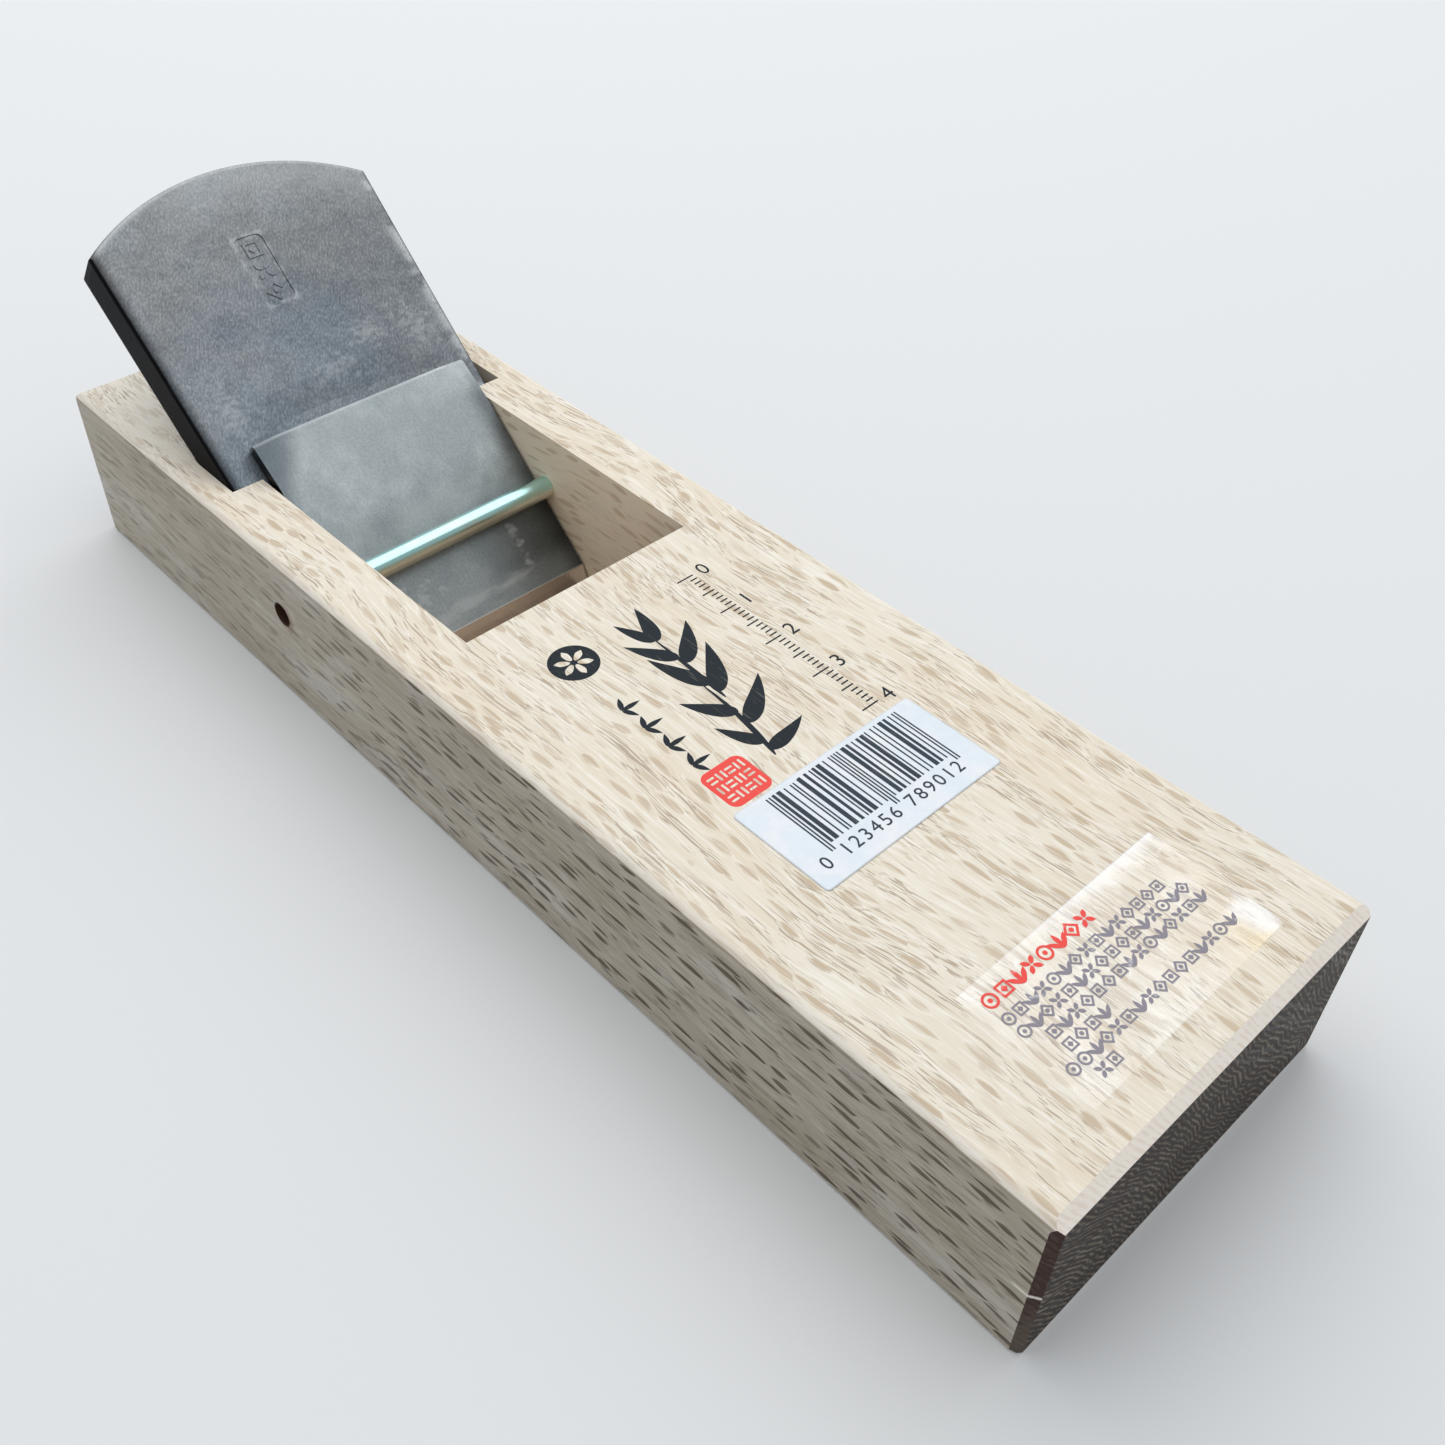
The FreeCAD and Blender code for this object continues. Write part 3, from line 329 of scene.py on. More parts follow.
# Painted highlight: the rounded long edges of the top are lightened towards a pale cream, with a few side
# flecks kept in them
arris_highlight = oak.product(oak.fade(face[1], 0.25, 0.60), outer, oak.fade(streak, 0.30, 0.62, 0.35, 0.75))
wood = oak.mix(arris_highlight, top_wood, ARRIS_PALE)
wood = oak.mix(oak.product(arris_highlight, side_fleck, 0.8), wood, TOP_FLECK)
wood = oak.mix(oak.product(is_side, outer), wood, side_wood)
wood = oak.mix(stain, wood, HOLE_STAIN)
wood = oak.mix(hole_shade, wood, HOLE_SHADE_BROWN)
wood = oak.mix(is_wall, wood, wall_wood)
wood = oak.mix(is_cut, wood, cut_wood)
wood = oak.mix(is_end, wood, end_wood)
wood = oak.mix(is_chamfer, wood, chamfer_wood)
wood = oak.mix(is_corner, wood, corner_wood)
wood = oak.mix(splinter, wood, OAK_HAIR)
oak.feed(oak.surface.inputs["Base Color"], wood)
oak.feed(oak.surface.inputs["Roughness"], oak.fade(fleck, 0.0, 1.0, 0.62, 0.50))
oak.surface.inputs["Specular IOR Level"].default_value = 0.25
relief = oak.math("SUBTRACT", oak.product(streak, 0.35), oak.product(pores, 0.8))
relief = oak.math("SUBTRACT", relief, oak.product(fleck, 0.25))
relief = oak.math("ADD", relief, oak.product(oak.math("ADD", is_end, is_cut), broken, 1.2))
oak.bumps(relief, 0.05, 0.6)


def dress_node(name, finish):
    """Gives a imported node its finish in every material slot."""
    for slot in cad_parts[name].material_slots:
        slot.material = finish.material


dress_node("dai", oak)


# Cross pin. A length of drawn steel rod with bright zinc on it, driven through the left cheek and
# into the right one, which holds the chip breaker down.
ZINC_BRIGHT = (0.500, 0.785, 0.765, 1)
ZINC_DULL = (0.590, 0.700, 0.620, 1)
ZINC_WOOD_REFLECTION = (0.790, 0.780, 0.650, 1)

zinc = Finish("bright_zinc")
rod = zinc.millimetres()
rings = zinc.cloud(rod, 1.0, (0.10, 3.0, 0.10), 2.0)
tarnish = zinc.cloud(rod, 0.30, (1, 0.5, 1), 2.0)
upward = zinc.split(zinc.add("TexCoord").outputs["Normal"])[2]
# Painted reflection: the underside of the rod is tinted cream and made less metallic, standing in for the oak
# mirrored in it
underside_reflection = zinc.fade(upward, 0.50, 0.10)
plating = zinc.mix(zinc.fade(tarnish, 0.50, 0.80), ZINC_BRIGHT, ZINC_DULL)
zinc.feed(zinc.surface.inputs["Base Color"], zinc.mix(underside_reflection, plating, ZINC_WOOD_REFLECTION))
zinc.feed(zinc.surface.inputs["Metallic"], zinc.fade(underside_reflection, 0.0, 1.0, 1.0, 0.60))
zinc.feed(zinc.surface.inputs["Roughness"], zinc.fade(rings, 0.3, 0.7, 0.20, 0.26))
zinc.bumps(rings, 0.004, 0.1)
dress_node("cross_pin", zinc)


# Blade iron. Soft iron forged by hand to a wedge, with its blue-grey scale from the fire on it,
# worn bright round the crown and along the sides, and a small round-cornered panel struck in it.
FACE_SLOPE = math.radians(41)
EDGE_ALONG = 23.71
FACE_DEPTH = 19.95
BLADE_MIDDLE = (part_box("blade_iron")[0].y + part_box("blade_iron")[1].y) / 2 / MM
BLADE_HALF_WIDTH = (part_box("blade_iron")[1].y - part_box("blade_iron")[0].y) / 2 / MM
CROWN_RADIUS = 48.5
CROWN_END = 98.6
SIDE_TAPER = 0.0122
FIBRE_TURN = math.radians(28)
SCALE_BLUE = (0.222, 0.260, 0.296, 1)
SCALE_GREY = (0.346, 0.363, 0.380, 1)
SCALE_BROWN = (0.301, 0.300, 0.298, 1)
SKY_REFLECTION_BLUE = (0.335, 0.395, 0.445, 1)
SCALE_WORN = (0.590, 0.610, 0.620, 1)
SHADE_BLACK = (0.003, 0.003, 0.004, 1)
PANEL_MIDDLE = (-79.4, -1.85)
PANEL_HALF = (6.55, 2.8)
WORN_SPOTS = ((60.5, 19.0, 5.0, 3.4), (58.4, 0.4, 2.2, 5.5), (58.6, -21.0, 5.5, 2.2), (62.5, 9.5, 2.2, 4.0))


def blade_place(finish):
    """Millimetres along the blade from its edge, across it, and above its face."""
    return finish.millimetres(scale=(-1, 1, 1), angle=(0, FACE_SLOPE, 0), move=(-EDGE_ALONG, 0, FACE_DEPTH))


def rubbed(finish, along, across, ragged, middle_along, middle_across, half_long, half_wide):
    """A patch rubbed bright, with ragged edges, about a middle."""
    off = finish.vector("SUBTRACT", finish.join(along, across, 0.0), (middle_along, middle_across, 0.0))
    off = finish.vector("DIVIDE", off, (half_long, half_wide, 1.0))
    off = finish.add("VectorMath", {"operation": "LENGTH"}, Vector=off).outputs["Value"]
    return finish.fade(finish.total(off, finish.product(ragged, -6.0)), -1.7, -3.3)


forged = Finish("forge_scale")
place = blade_place(forged)
along, across = forged.split(place)[:2]
facing = forged.facing()
drawn = forged.turn(place, angle=(0, 0, -FIBRE_TURN))
sand = forged.cloud(drawn, 2.4, (0.62, 1.25, 1.0), 2.0)
pits = forged.cloud(place, 0.55, detail=4.0)
cloudy = forged.cloud(place, 0.085, detail=3.0)
grit = forged.cloud(place, 0.9, (1.0, 0.7, 1.0), 5.0)
smear = forged.cloud(place, 0.26, (1.0, 0.7, 1.0), 4.0)
low_left = forged.product(forged.fade(across, 12.0, -14.0), forged.fade(along, 74.0, 58.0), 15.0)
higher = forged.total(along, forged.product(across, -0.30), forged.product(cloudy, 26.0), low_left)
tone = forged.mix(forged.fade(higher, 76.0, 106.0), SCALE_BLUE, SCALE_GREY)
brown = forged.product(forged.fade(forged.cloud(place, 0.06, (1, 1, 1), 2.0, (7, 2, 0)), 0.44, 0.62), 0.55)
brown = forged.math("MAXIMUM", brown, forged.product(forged.fade(across, 2.0, 16.0), 0.55))
tone = forged.mix(brown, tone, SCALE_BROWN)
# Painted reflection: the lower left of the face is tinted towards a pale sky blue
sky_reflection = forged.product(forged.fade(along, 75.0, 60.0), forged.fade(across, 16.0, -8.0, 0.15, 0.42))
tone = forged.mix(sky_reflection, tone, SKY_REFLECTION_BLUE)
tone = forged.darken(forged.fade(smear, 0.62, 0.36), tone, (0.88, 0.89, 0.90, 1))
scratches = forged.cloud(drawn, 1.0, (0.16, 3.6, 1.0), 2.0)
tone = forged.darken(forged.fade(pits, 0.58, 0.34), tone, (0.87, 0.875, 0.88, 1))
tone = forged.darken(forged.fade(sand, 0.60, 0.36), tone, (0.77, 0.775, 0.78, 1))
tone = forged.mix(forged.product(forged.fade(sand, 0.54, 0.70), 0.18), tone, SCALE_WORN)
tone = forged.mix(forged.product(forged.fade(scratches, 0.62, 0.72), forged.fade(cloudy, 0.40, 0.60), 0.30),
                  tone, SCALE_WORN)

# Bright where it is rubbed: the rim of the crown, the right side, and patches near the breaker. A broad
# painted highlight by the crown and a painted highlight round the struck panel are mixed in with this wear.
reach = forged.math("ABSOLUTE", forged.math("SUBTRACT", across, BLADE_MIDDLE))
narrowing = forged.product(forged.math("SUBTRACT", CROWN_END, along), SIDE_TAPER)
rim = forged.math("SUBTRACT", BLADE_HALF_WIDTH, forged.math("ADD", reach, narrowing))
right_side = forged.fade(across, 10.0, 18.0)
wear_and_highlight = forged.product(forged.fade(rim, 3.0, 0.4), forged.fade(smear, 0.44, 0.60), right_side, 0.62)
back = forged.math("SUBTRACT", along, CROWN_END - CROWN_RADIUS)
square = forged.math("ADD", forged.math("POWER", back, 2.0), forged.math("POWER", reach, 2.0))
crown = forged.math("SUBTRACT", CROWN_RADIUS, forged.math("SQRT", square))
crown_wear = forged.product(forged.fade(crown, 1.3, 0.2), forged.fade(along, 72.0, 84.0), 0.32)
wear_and_highlight = forged.math("MAXIMUM", wear_and_highlight, crown_wear)
# Painted highlight: a broad lighter band along the crown
crown_highlight = forged.product(forged.fade(crown, 11.0, 1.0), forged.fade(across, -22.0, -6.0), 0.22)
wear_and_highlight = forged.math("MAXIMUM", wear_and_highlight, crown_highlight)
for worn_spot in WORN_SPOTS:
    wear_and_highlight = forged.math("MAXIMUM", wear_and_highlight, forged.product(rubbed(forged, along, across, grit, *worn_spot), 0.26))
off_panel = forged.vector("SUBTRACT", forged.join(along, across, 0.0),
                          (-PANEL_MIDDLE[0], PANEL_MIDDLE[1], 0.0))
off_panel = forged.split(forged.vector("ABSOLUTE", off_panel, (0, 0, 0)))
off_panel = forged.math("MAXIMUM", forged.math("SUBTRACT", off_panel[0], PANEL_HALF[0]),
                        forged.math("SUBTRACT", off_panel[1], PANEL_HALF[1]))
# Painted highlight: a light rim round the edge of the struck panel
panel_rim_highlight = forged.product(forged.fade(forged.math("ABSOLUTE", off_panel), 0.75, 0.15),
                           forged.fade(pits, 0.36, 0.60), 0.30)
wear_and_highlight = forged.math("MAXIMUM", wear_and_highlight, panel_rim_highlight)
tone = forged.mix(wear_and_highlight, tone, SCALE_WORN)
# Both sides are darkened; the left one, which lies in shade, is painted near black as painted shade and given
# no shine, as is a strip of the face along it
on_side = forged.fade(facing[1], 0.25, 0.70)
tone = forged.darken(on_side, tone, (0.45, 0.46, 0.48, 1))
left_side_shade = forged.product(on_side, forged.fade(across, 0.0, -6.0))
tone = forged.mix(left_side_shade, tone, SHADE_BLACK)
left_shade = forged.product(forged.fade(rim, 2.4, 0.3), forged.fade(across, -16.0, -22.0), 0.72)
tone = forged.mix(left_shade, tone, SHADE_BLACK)
forged.feed(forged.surface.inputs["Base Color"], tone)
forged.feed(forged.surface.inputs["Metallic"], forged.fade(left_side_shade, 0.0, 1.0, 0.70, 0.0))
forged.surface.inputs["Specular IOR Level"].default_value = 0.06
forged.feed(forged.surface.inputs["Roughness"], forged.fade(wear_and_highlight, 0.0, 0.7, 0.55, 0.40))
forged.bumps(forged.total(forged.product(sand, 0.55), forged.product(pits, 0.5), forged.product(smear, 0.8)),
             0.12, 0.75)
dress_node("blade_iron", forged)


# Blade steel. A thin plate of hard steel forge-welded to the face of the iron, ground hollow
# behind the edge. Its face still carries the same scale as the iron, so the weld hardly shows.
dress_node("blade_steel", forged)


# Chip breaker. A smaller plate of soft iron with thin steel welded under its edge, ground smooth
# all over, whose two bent ears wedge it under the pin.
BREAKER_TOP = 51.0
BREAKER_HALF_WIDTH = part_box("chip_breaker_iron")[1].y / MM
EAR_ACROSS = 5.0
EAR_DOWN = 10.0
SCUFFS = ((14.5, -12.5, 2.8, 5.0), (17.0, 12.5, 4.4, 0.9), (49.0, 19.5, 2.4, 1.4))
IRON_DARK = (0.405, 0.452, 0.462, 1)
IRON_LIGHT = (0.527, 0.574, 0.584, 1)
IRON_LOW_SHADE = (0.64, 0.65, 0.65, 1)
STEEL_DARK = (0.520, 0.540, 0.555, 1)
STEEL_LIGHT = (0.620, 0.640, 0.650, 1)
STEEL_LOW_SHADE = (0.85, 0.84, 0.83, 1)


def satin_finish(name, dark, light, lower_shade):
    """Smooth grey metal, lighter on the open middle. Painted shade darkens the bent ears, the sides, the low
    end, the right edge and under the pin; a painted highlight runs along the top edge and a painted
    reflection warms the polished bevel.
    """
    finish = Finish(name)
    place = blade_place(finish)
    along, across = finish.split(place)[:2]
    facing = finish.facing()
    brushed = finish.cloud(place, 1.0, (0.8, 3.0, 1.0), 3.0)
    breath = finish.cloud(place, 0.12, detail=3.0)
    grit = finish.cloud(place, 2.8, detail=2.0)
    tone = finish.mix(finish.fade(breath, 0.36, 0.66), dark, light)
    # Painted shade: the low end of the plate, down in the opening, is darkened
    low_end_shade = finish.fade(finish.total(along, finish.product(breath, 8.0)), 39.5, 27.5)
    tone = finish.darken(low_end_shade, tone, lower_shade)
    tone = finish.darken(finish.fade(brushed, 0.62, 0.40), tone, (0.94, 0.945, 0.95, 1))
    tone = finish.darken(finish.fade(grit, 0.58, 0.42), tone, (0.88, 0.885, 0.89, 1))
    # Painted shade: the bent ears are darkened past their folds
    aside = finish.math("SUBTRACT", finish.product(across, -1.0), BREAKER_HALF_WIDTH - EAR_ACROSS)
    past_fold = finish.total(finish.math("DIVIDE", aside, EAR_ACROSS),
                             finish.math("DIVIDE", finish.math("SUBTRACT", along, BREAKER_TOP), EAR_DOWN))
    tone = finish.darken(finish.fade(past_fold, -0.95, 0.25), tone, (0.38, 0.41, 0.44, 1))
    right_shade = finish.product(finish.fade(across, 17.0, 21.8), finish.fade(along, 49.0, 42.0))
    tone = finish.darken(right_shade, tone, (0.42, 0.42, 0.43, 1))
    # Painted shade: the side faces are painted near black
    tone = finish.mix(finish.fade(facing[1], 0.4, 0.8), tone, SHADE_BLACK)
    # Painted shadow: the plate is darkened just below the pin, towards the right
    pin_shadow = finish.product(finish.fade(across, 0.0, 15.0), finish.fade(along, 24.0, 19.0),
                               finish.fade(along, 8.0, 14.0, 0.45, 1.0))
    tone = finish.darken(pin_shadow, tone, (0.40, 0.39, 0.38, 1))
    smudge = finish.product(finish.fade(finish.cloud(place, 0.16, (1.6, 0.5, 1), 3.0, (3, 0, 0)), 0.54, 0.70),
                            finish.fade(along, 32.0, 24.0), 0.30)
    scratched = finish.cloud(place, 0.8, (1.0, 0.6, 1), 4.0)
    for scuff in SCUFFS:
        smudge = finish.math("MAXIMUM", smudge,
                             finish.product(rubbed(finish, along, across, scratched, *scuff), 0.30))
    tone = finish.mix(smudge, tone, (0.62, 0.64, 0.65, 1))
    # Painted highlight: a light line along the top edge
    tone = finish.mix(finish.product(finish.fade(along, BREAKER_TOP - 0.8, BREAKER_TOP - 0.4), 0.40), tone,
                      (0.72, 0.75, 0.77, 1))
    # The polished bevel at the lower end is smoother; its warm tint is a painted reflection of the oak in
    # front of it
    bevel_polish_and_reflection = finish.fade(along, 7.6, 7.0)
    tone = finish.mix(bevel_polish_and_reflection, tone, (0.80, 0.74, 0.68, 1))
    finish.feed(finish.surface.inputs["Base Color"], tone)
    finish.surface.inputs["Metallic"].default_value = 0.80
    finish.feed(finish.surface.inputs["Roughness"],
                finish.total(finish.fade(breath, 0.3, 0.7, 0.40, 0.48), finish.product(bevel_polish_and_reflection, -0.26)))
    finish.bumps(finish.total(finish.product(brushed, 0.5), finish.product(grit, 0.5), breath), 0.04, 0.4)
    return finish


satin = satin_finish("satin_iron", IRON_DARK, IRON_LIGHT, IRON_LOW_SHADE)
dress_node("chip_breaker_iron", satin)
bright = satin_finish("bright_steel", STEEL_DARK, STEEL_LIGHT, STEEL_LOW_SHADE)
dress_node("chip_breaker_steel", bright)


# Printed marks on the block. Ink laid on the planed wood with a screen: a round badge, a brushed
# spray of bamboo leaves, a row of sprouts, a short rule and a red seal, all as thin as a coat of
# paint. Where a mark is left open, the oak shows through.
INK_HEIGHT = 0.02
LEAF_POINTS = 40
INK_BLACK = (0.026, 0.033, 0.040, 1)
INK_RED = (0.930, 0.105, 0.090, 1)
BADGE_MIDDLE = (6.8, -13.2)
BADGE_RADIUS = 4.0
SPRAY_START = (41.0, -4.6)
SPROUT_START = 19.6
SPROUT_PITCH = 5.0
SPROUT_LINE = -13.2
RULE_START = 3.0
RULE_LINE = 14.6
RULE_LENGTH = 40
TICK_WIDTH = 0.30
RULE_DIGIT = 3.9
SEAL_MIDDLE = (40.9, -12.3)
SEAL_SIZE = (7.9, 7.8)
PETALS = 6
PETAL_ROOT = 0.55
STROKE_STEP = 0.0012
MERGE_WITHIN = 0.0005
LATTICE_PITCH = (2.12, 1.68)
LATTICE_GAP = 0.46
LATTICE_LYING = (1.60, 0.40)
LATTICE_STANDING = (0.40, 1.30)


def ink_finish(name, colour):
    """Printing ink, a little thinner and paler where it has sunk into the pores."""
    finish = Finish(name)
    place = finish.millimetres()
    thin = finish.cloud(place, 1.0, (0.25, 2.6, 1.0), 3.0)
    pale = tuple(0.88 * c + 0.12 * w for c, w in zip(colour[:3], OAK_CREAM)) + (1,)
    finish.feed(finish.surface.inputs["Base Color"],
                finish.mix(finish.fade(thin, 0.60, 0.76), colour, pale))
    finish.surface.inputs["Roughness"].default_value = 0.75
    finish.surface.inputs["Specular IOR Level"].default_value = 0.12
    return finish


def thicken(bm, height):
    """Gives flat outlines their thickness upwards."""
    skin = bmesh.ops.extrude_face_region(bm, geom=bm.faces[:])["geom"]
    top = [item for item in skin if isinstance(item, bmesh.types.BMVert)]
    bmesh.ops.translate(bm, verts=top, vec=(0, 0, height))


def lay_down(bm, name, finish, body, height, transform=None):
    """Turns a bmesh in millimetres into a piece in metres, standing at this height."""
    bmesh.ops.translate(bm, verts=bm.verts, vec=(0, 0, height))
    bmesh.ops.transform(bm, matrix=Matrix.Scale(MM, 4), verts=bm.verts)
    if transform is not None:
        bmesh.ops.transform(bm, matrix=transform, verts=bm.verts)
    bmesh.ops.recalc_face_normals(bm, faces=bm.faces)
    mesh = bpy.data.meshes.new(name)
    bm.to_mesh(mesh)
    bm.free()
    mesh.materials.append(finish.material)
    piece = bpy.data.objects.new(name, mesh)
    bpy.context.scene.collection.objects.link(piece)
    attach(piece, body)
    return piece


def dot(bm, middle, radius, points=48):
    disc = bmesh.ops.create_circle(bm, cap_ends=True, radius=radius, segments=points)["verts"]
    bmesh.ops.translate(bm, verts=disc, vec=(middle[0], middle[1], 0))


def rounded_plate(bm, middle, size, radius, points=24, turn=0.0):
    """A flat rectangle with round corners: a disc pulled apart by quarters."""
    ring = bmesh.ops.create_circle(bm, cap_ends=True, radius=radius, segments=points,
                                   matrix=Matrix.Rotation(math.pi / points, 4, "Z"))["verts"]
    for vertex in ring:
        vertex.co.x += math.copysign(size[0] / 2 - radius, vertex.co.x)
        vertex.co.y += math.copysign(size[1] / 2 - radius, vertex.co.y)
    bmesh.ops.rotate(bm, verts=ring, cent=(0, 0, 0), matrix=Matrix.Rotation(turn, 3, "Z"))
    bmesh.ops.translate(bm, verts=ring, vec=(middle[0], middle[1], 0))
    return ring


def brush_leaf(bm, root, heading, length, width, bend=0.0, press=0.30, lift=0.0):
    """One brush stroke: round where the brush lands, then drawn out to a point."""
    outline = bmesh.ops.create_circle(bm, cap_ends=True, radius=1.0, segments=LEAF_POINTS)["verts"]
    for vertex in outline:
        share = (1 + vertex.co.x) / 2
        if share < press:
            fullness = math.sqrt(max(0.0, 1 - (1 - share / press) ** 2))
        else:
            fullness = 1 - ((share - press) / (1 - press)) ** 1.5
        side = math.copysign(fullness * width / 2, vertex.co.y)
        chord = heading + bend * share / 2
        normal = heading + bend * share + math.pi / 2
        vertex.co.x = root[0] + length * share * math.cos(chord) + side * math.cos(normal)
        vertex.co.y = root[1] + length * share * math.sin(chord) + side * math.sin(normal)
        vertex.co.z = lift
    bmesh.ops.remove_doubles(bm, verts=outline, dist=0.001)


black_ink = ink_finish("black_ink", INK_BLACK)
red_ink = ink_finish("red_ink", INK_RED)

badge = bmesh.new()
dot(badge, BADGE_MIDDLE, BADGE_RADIUS, 64)
thicken(badge, INK_HEIGHT)
lay_down(badge, "ink_badge", black_ink, "block", BLOCK_TOP)

rosette = bmesh.new()
for petal in range(PETALS):
    angle = petal * math.tau / PETALS
    root = (BADGE_MIDDLE[0] + PETAL_ROOT * math.cos(angle), BADGE_MIDDLE[1] + PETAL_ROOT * math.sin(angle))
    brush_leaf(rosette, root, angle, 2.5, 1.15, 0.0, 0.62)
thicken(rosette, INK_HEIGHT)
lay_down(rosette, "ink_badge_rosette", oak, "block", BLOCK_TOP + INK_HEIGHT)

spray = bmesh.new()
leaves = (
    (SPRAY_START, 166, 19.5, 0.95, 0.25), ((27.6, -1.5), 176, 19.0, 0.85, 0.05),
    ((39.5, -4.4), 92, 8.6, 2.5, 0.35), ((38.0, -3.9), 214, 7.6, 2.3, -0.25),
    ((33.6, -2.9), 118, 11.0, 3.1, 0.35), ((31.0, -2.3), 226, 8.8, 2.7, -0.30),
    ((26.0, -1.4), 140, 11.5, 3.2, 0.25), ((24.0, -1.1), 206, 11.0, 2.9, -0.25),
    ((18.0, -0.7), 128, 10.0, 2.9, 0.35), ((16.5, -0.7), 218, 8.8, 2.6, -0.20),
    ((11.4, -0.6), 156, 8.6, 2.6, 0.25), ((11.2, -0.8), 204, 7.4, 2.1, -0.15),
)
for number, (root, heading, length, width, bend) in enumerate(leaves):
    brush_leaf(spray, root, math.radians(heading), length, width, bend, lift=STROKE_STEP * number)
thicken(spray, INK_HEIGHT)
lay_down(spray, "ink_leaf_spray", black_ink, "block", BLOCK_TOP)

sprouts = bmesh.new()
for number in range(4):
    foot = (SPROUT_START + SPROUT_PITCH * number, SPROUT_LINE)
    for layer, (heading, length, width) in enumerate(((90, 3.4, 0.85), (152, 2.7, 0.90), (28, 2.7, 0.90))):
        brush_leaf(sprouts, (foot[0], foot[1] - 1.5), math.radians(heading), length, width, 0.0, 0.45,
                   STROKE_STEP * layer)
thicken(sprouts, INK_HEIGHT)
lay_down(sprouts, "ink_sprouts", black_ink, "block", BLOCK_TOP)


def write_number(bm, text, size, middle, turn):
    """A plain numeral from the built-in letter shapes, as a flat outline."""
    curve = bpy.data.curves.new("numeral", "FONT")
    curve.body = text
    curve.size = size
    curve.align_x = "CENTER"
    curve.align_y = "CENTER"
    curve.resolution_u = 4
    shape = bpy.data.objects.new("numeral", curve)
    bpy.context.scene.collection.objects.link(shape)
    seen = shape.evaluated_get(bpy.context.evaluated_depsgraph_get())
    mesh = bpy.data.meshes.new_from_object(seen)
    mesh.transform(Matrix.Translation((middle[0], middle[1], 0)) @ Matrix.Rotation(turn, 4, "Z"))
    bm.from_mesh(mesh)
    bpy.data.objects.remove(shape)
    bpy.data.meshes.remove(mesh)


rule = bmesh.new()
for tick in range(RULE_LENGTH + 1):
    tall = 3.4 if tick % 10 == 0 else 2.5 if tick % 5 == 0 else 1.5
    rounded_plate(rule, (RULE_START + tick, RULE_LINE - tall / 2), (TICK_WIDTH, tall), 0.14, 8)
for centimetre in range(RULE_LENGTH // 10 + 1):
    middle = (RULE_START + 10 * centimetre, RULE_LINE + 2.2)
    write_number(rule, str(centimetre), RULE_DIGIT, middle, math.pi / 2)
bmesh.ops.remove_doubles(rule, verts=rule.verts, dist=MERGE_WITHIN)
thicken(rule, INK_HEIGHT)
lay_down(rule, "ink_rule", black_ink, "block", BLOCK_TOP)

seal = bmesh.new()
rounded_plate(seal, SEAL_MIDDLE, SEAL_SIZE, 1.5, 32)
thicken(seal, INK_HEIGHT)
lay_down(seal, "ink_seal", red_ink, "block", BLOCK_TOP)

lattice = bmesh.new()
for column in range(3):
    for row in range(4):
        middle = (SEAL_MIDDLE[0] + LATTICE_PITCH[0] * (column - 1),
                  SEAL_MIDDLE[1] + LATTICE_PITCH[1] * (row - 1.5))
        lying = (column + row) % 2
        for bar in (-LATTICE_GAP, LATTICE_GAP):
            shift = (0, bar) if lying else (bar, 0)
            size = LATTICE_LYING if lying else LATTICE_STANDING
            rounded_plate(lattice, (middle[0] + shift[0], middle[1] + shift[1]), size, 0.12, 8)
thicken(lattice, INK_HEIGHT)
lay_down(lattice, "ink_seal_lattice", oak, "block", BLOCK_TOP + INK_HEIGHT)


# Paper label. Smooth white paper with a gummed back, pressed on by hand, with bars ruled on it in
# a plain rhythm and a scale of numbers beneath them.
LABEL_LOW, LABEL_HIGH = (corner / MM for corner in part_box("paper_label"))
LABEL_CORNER = 0.7
LABEL_THICKNESS = 0.10
LABEL_TOP = BLOCK_TOP + LABEL_THICKNESS + 0.01
BAR_START = 0.9
SHORT_BAR = 11.4
LONG_BAR = 12.6
BARS_LOW = LABEL_LOW.y + 5.4
MODULE = (LABEL_HIGH.y - LABEL_LOW.y - 9.0) / 95
BAR_RHYTHM = ((1, 2, 1, 3), (2, 1, 3, 1), (1, 1, 2, 3), (2, 2, 2, 1))
HALF_DIGITS = 6
DIGIT_MODULES = 7
LEFT_DIGITS, RIGHT_DIGITS = 3, 50
GUARD_BARS = (0, 46, 92)
DIGIT_SIZE = 3.15
DIGIT_LINE = LABEL_LOW.x + 14.5

PAPER_COOL = (0.780, 0.850, 0.905, 1)
PAPER_WARM = (0.860, 0.880, 0.915, 1)
LABEL_BLACK = (0.050, 0.066, 0.082, 1)

paper = Finish("white_paper")
sheet = paper.millimetres()
fibre = paper.cloud(sheet, 0.9, detail=4.0)
blotch = paper.cloud(sheet, 0.13, detail=3.0)
paper_tone = paper.mix(paper.fade(blotch, 0.38, 0.64), PAPER_COOL, PAPER_WARM)
paper.feed(paper.surface.inputs["Base Color"],
           paper.darken(paper.fade(fibre, 0.60, 0.40), paper_tone, (0.965, 0.97, 0.98, 1)))
paper.surface.inputs["Roughness"].default_value = 0.38
paper.bumps(paper.math("ADD", fibre, blotch), 0.03, 0.3)
label_ink = ink_finish("label_ink", LABEL_BLACK)


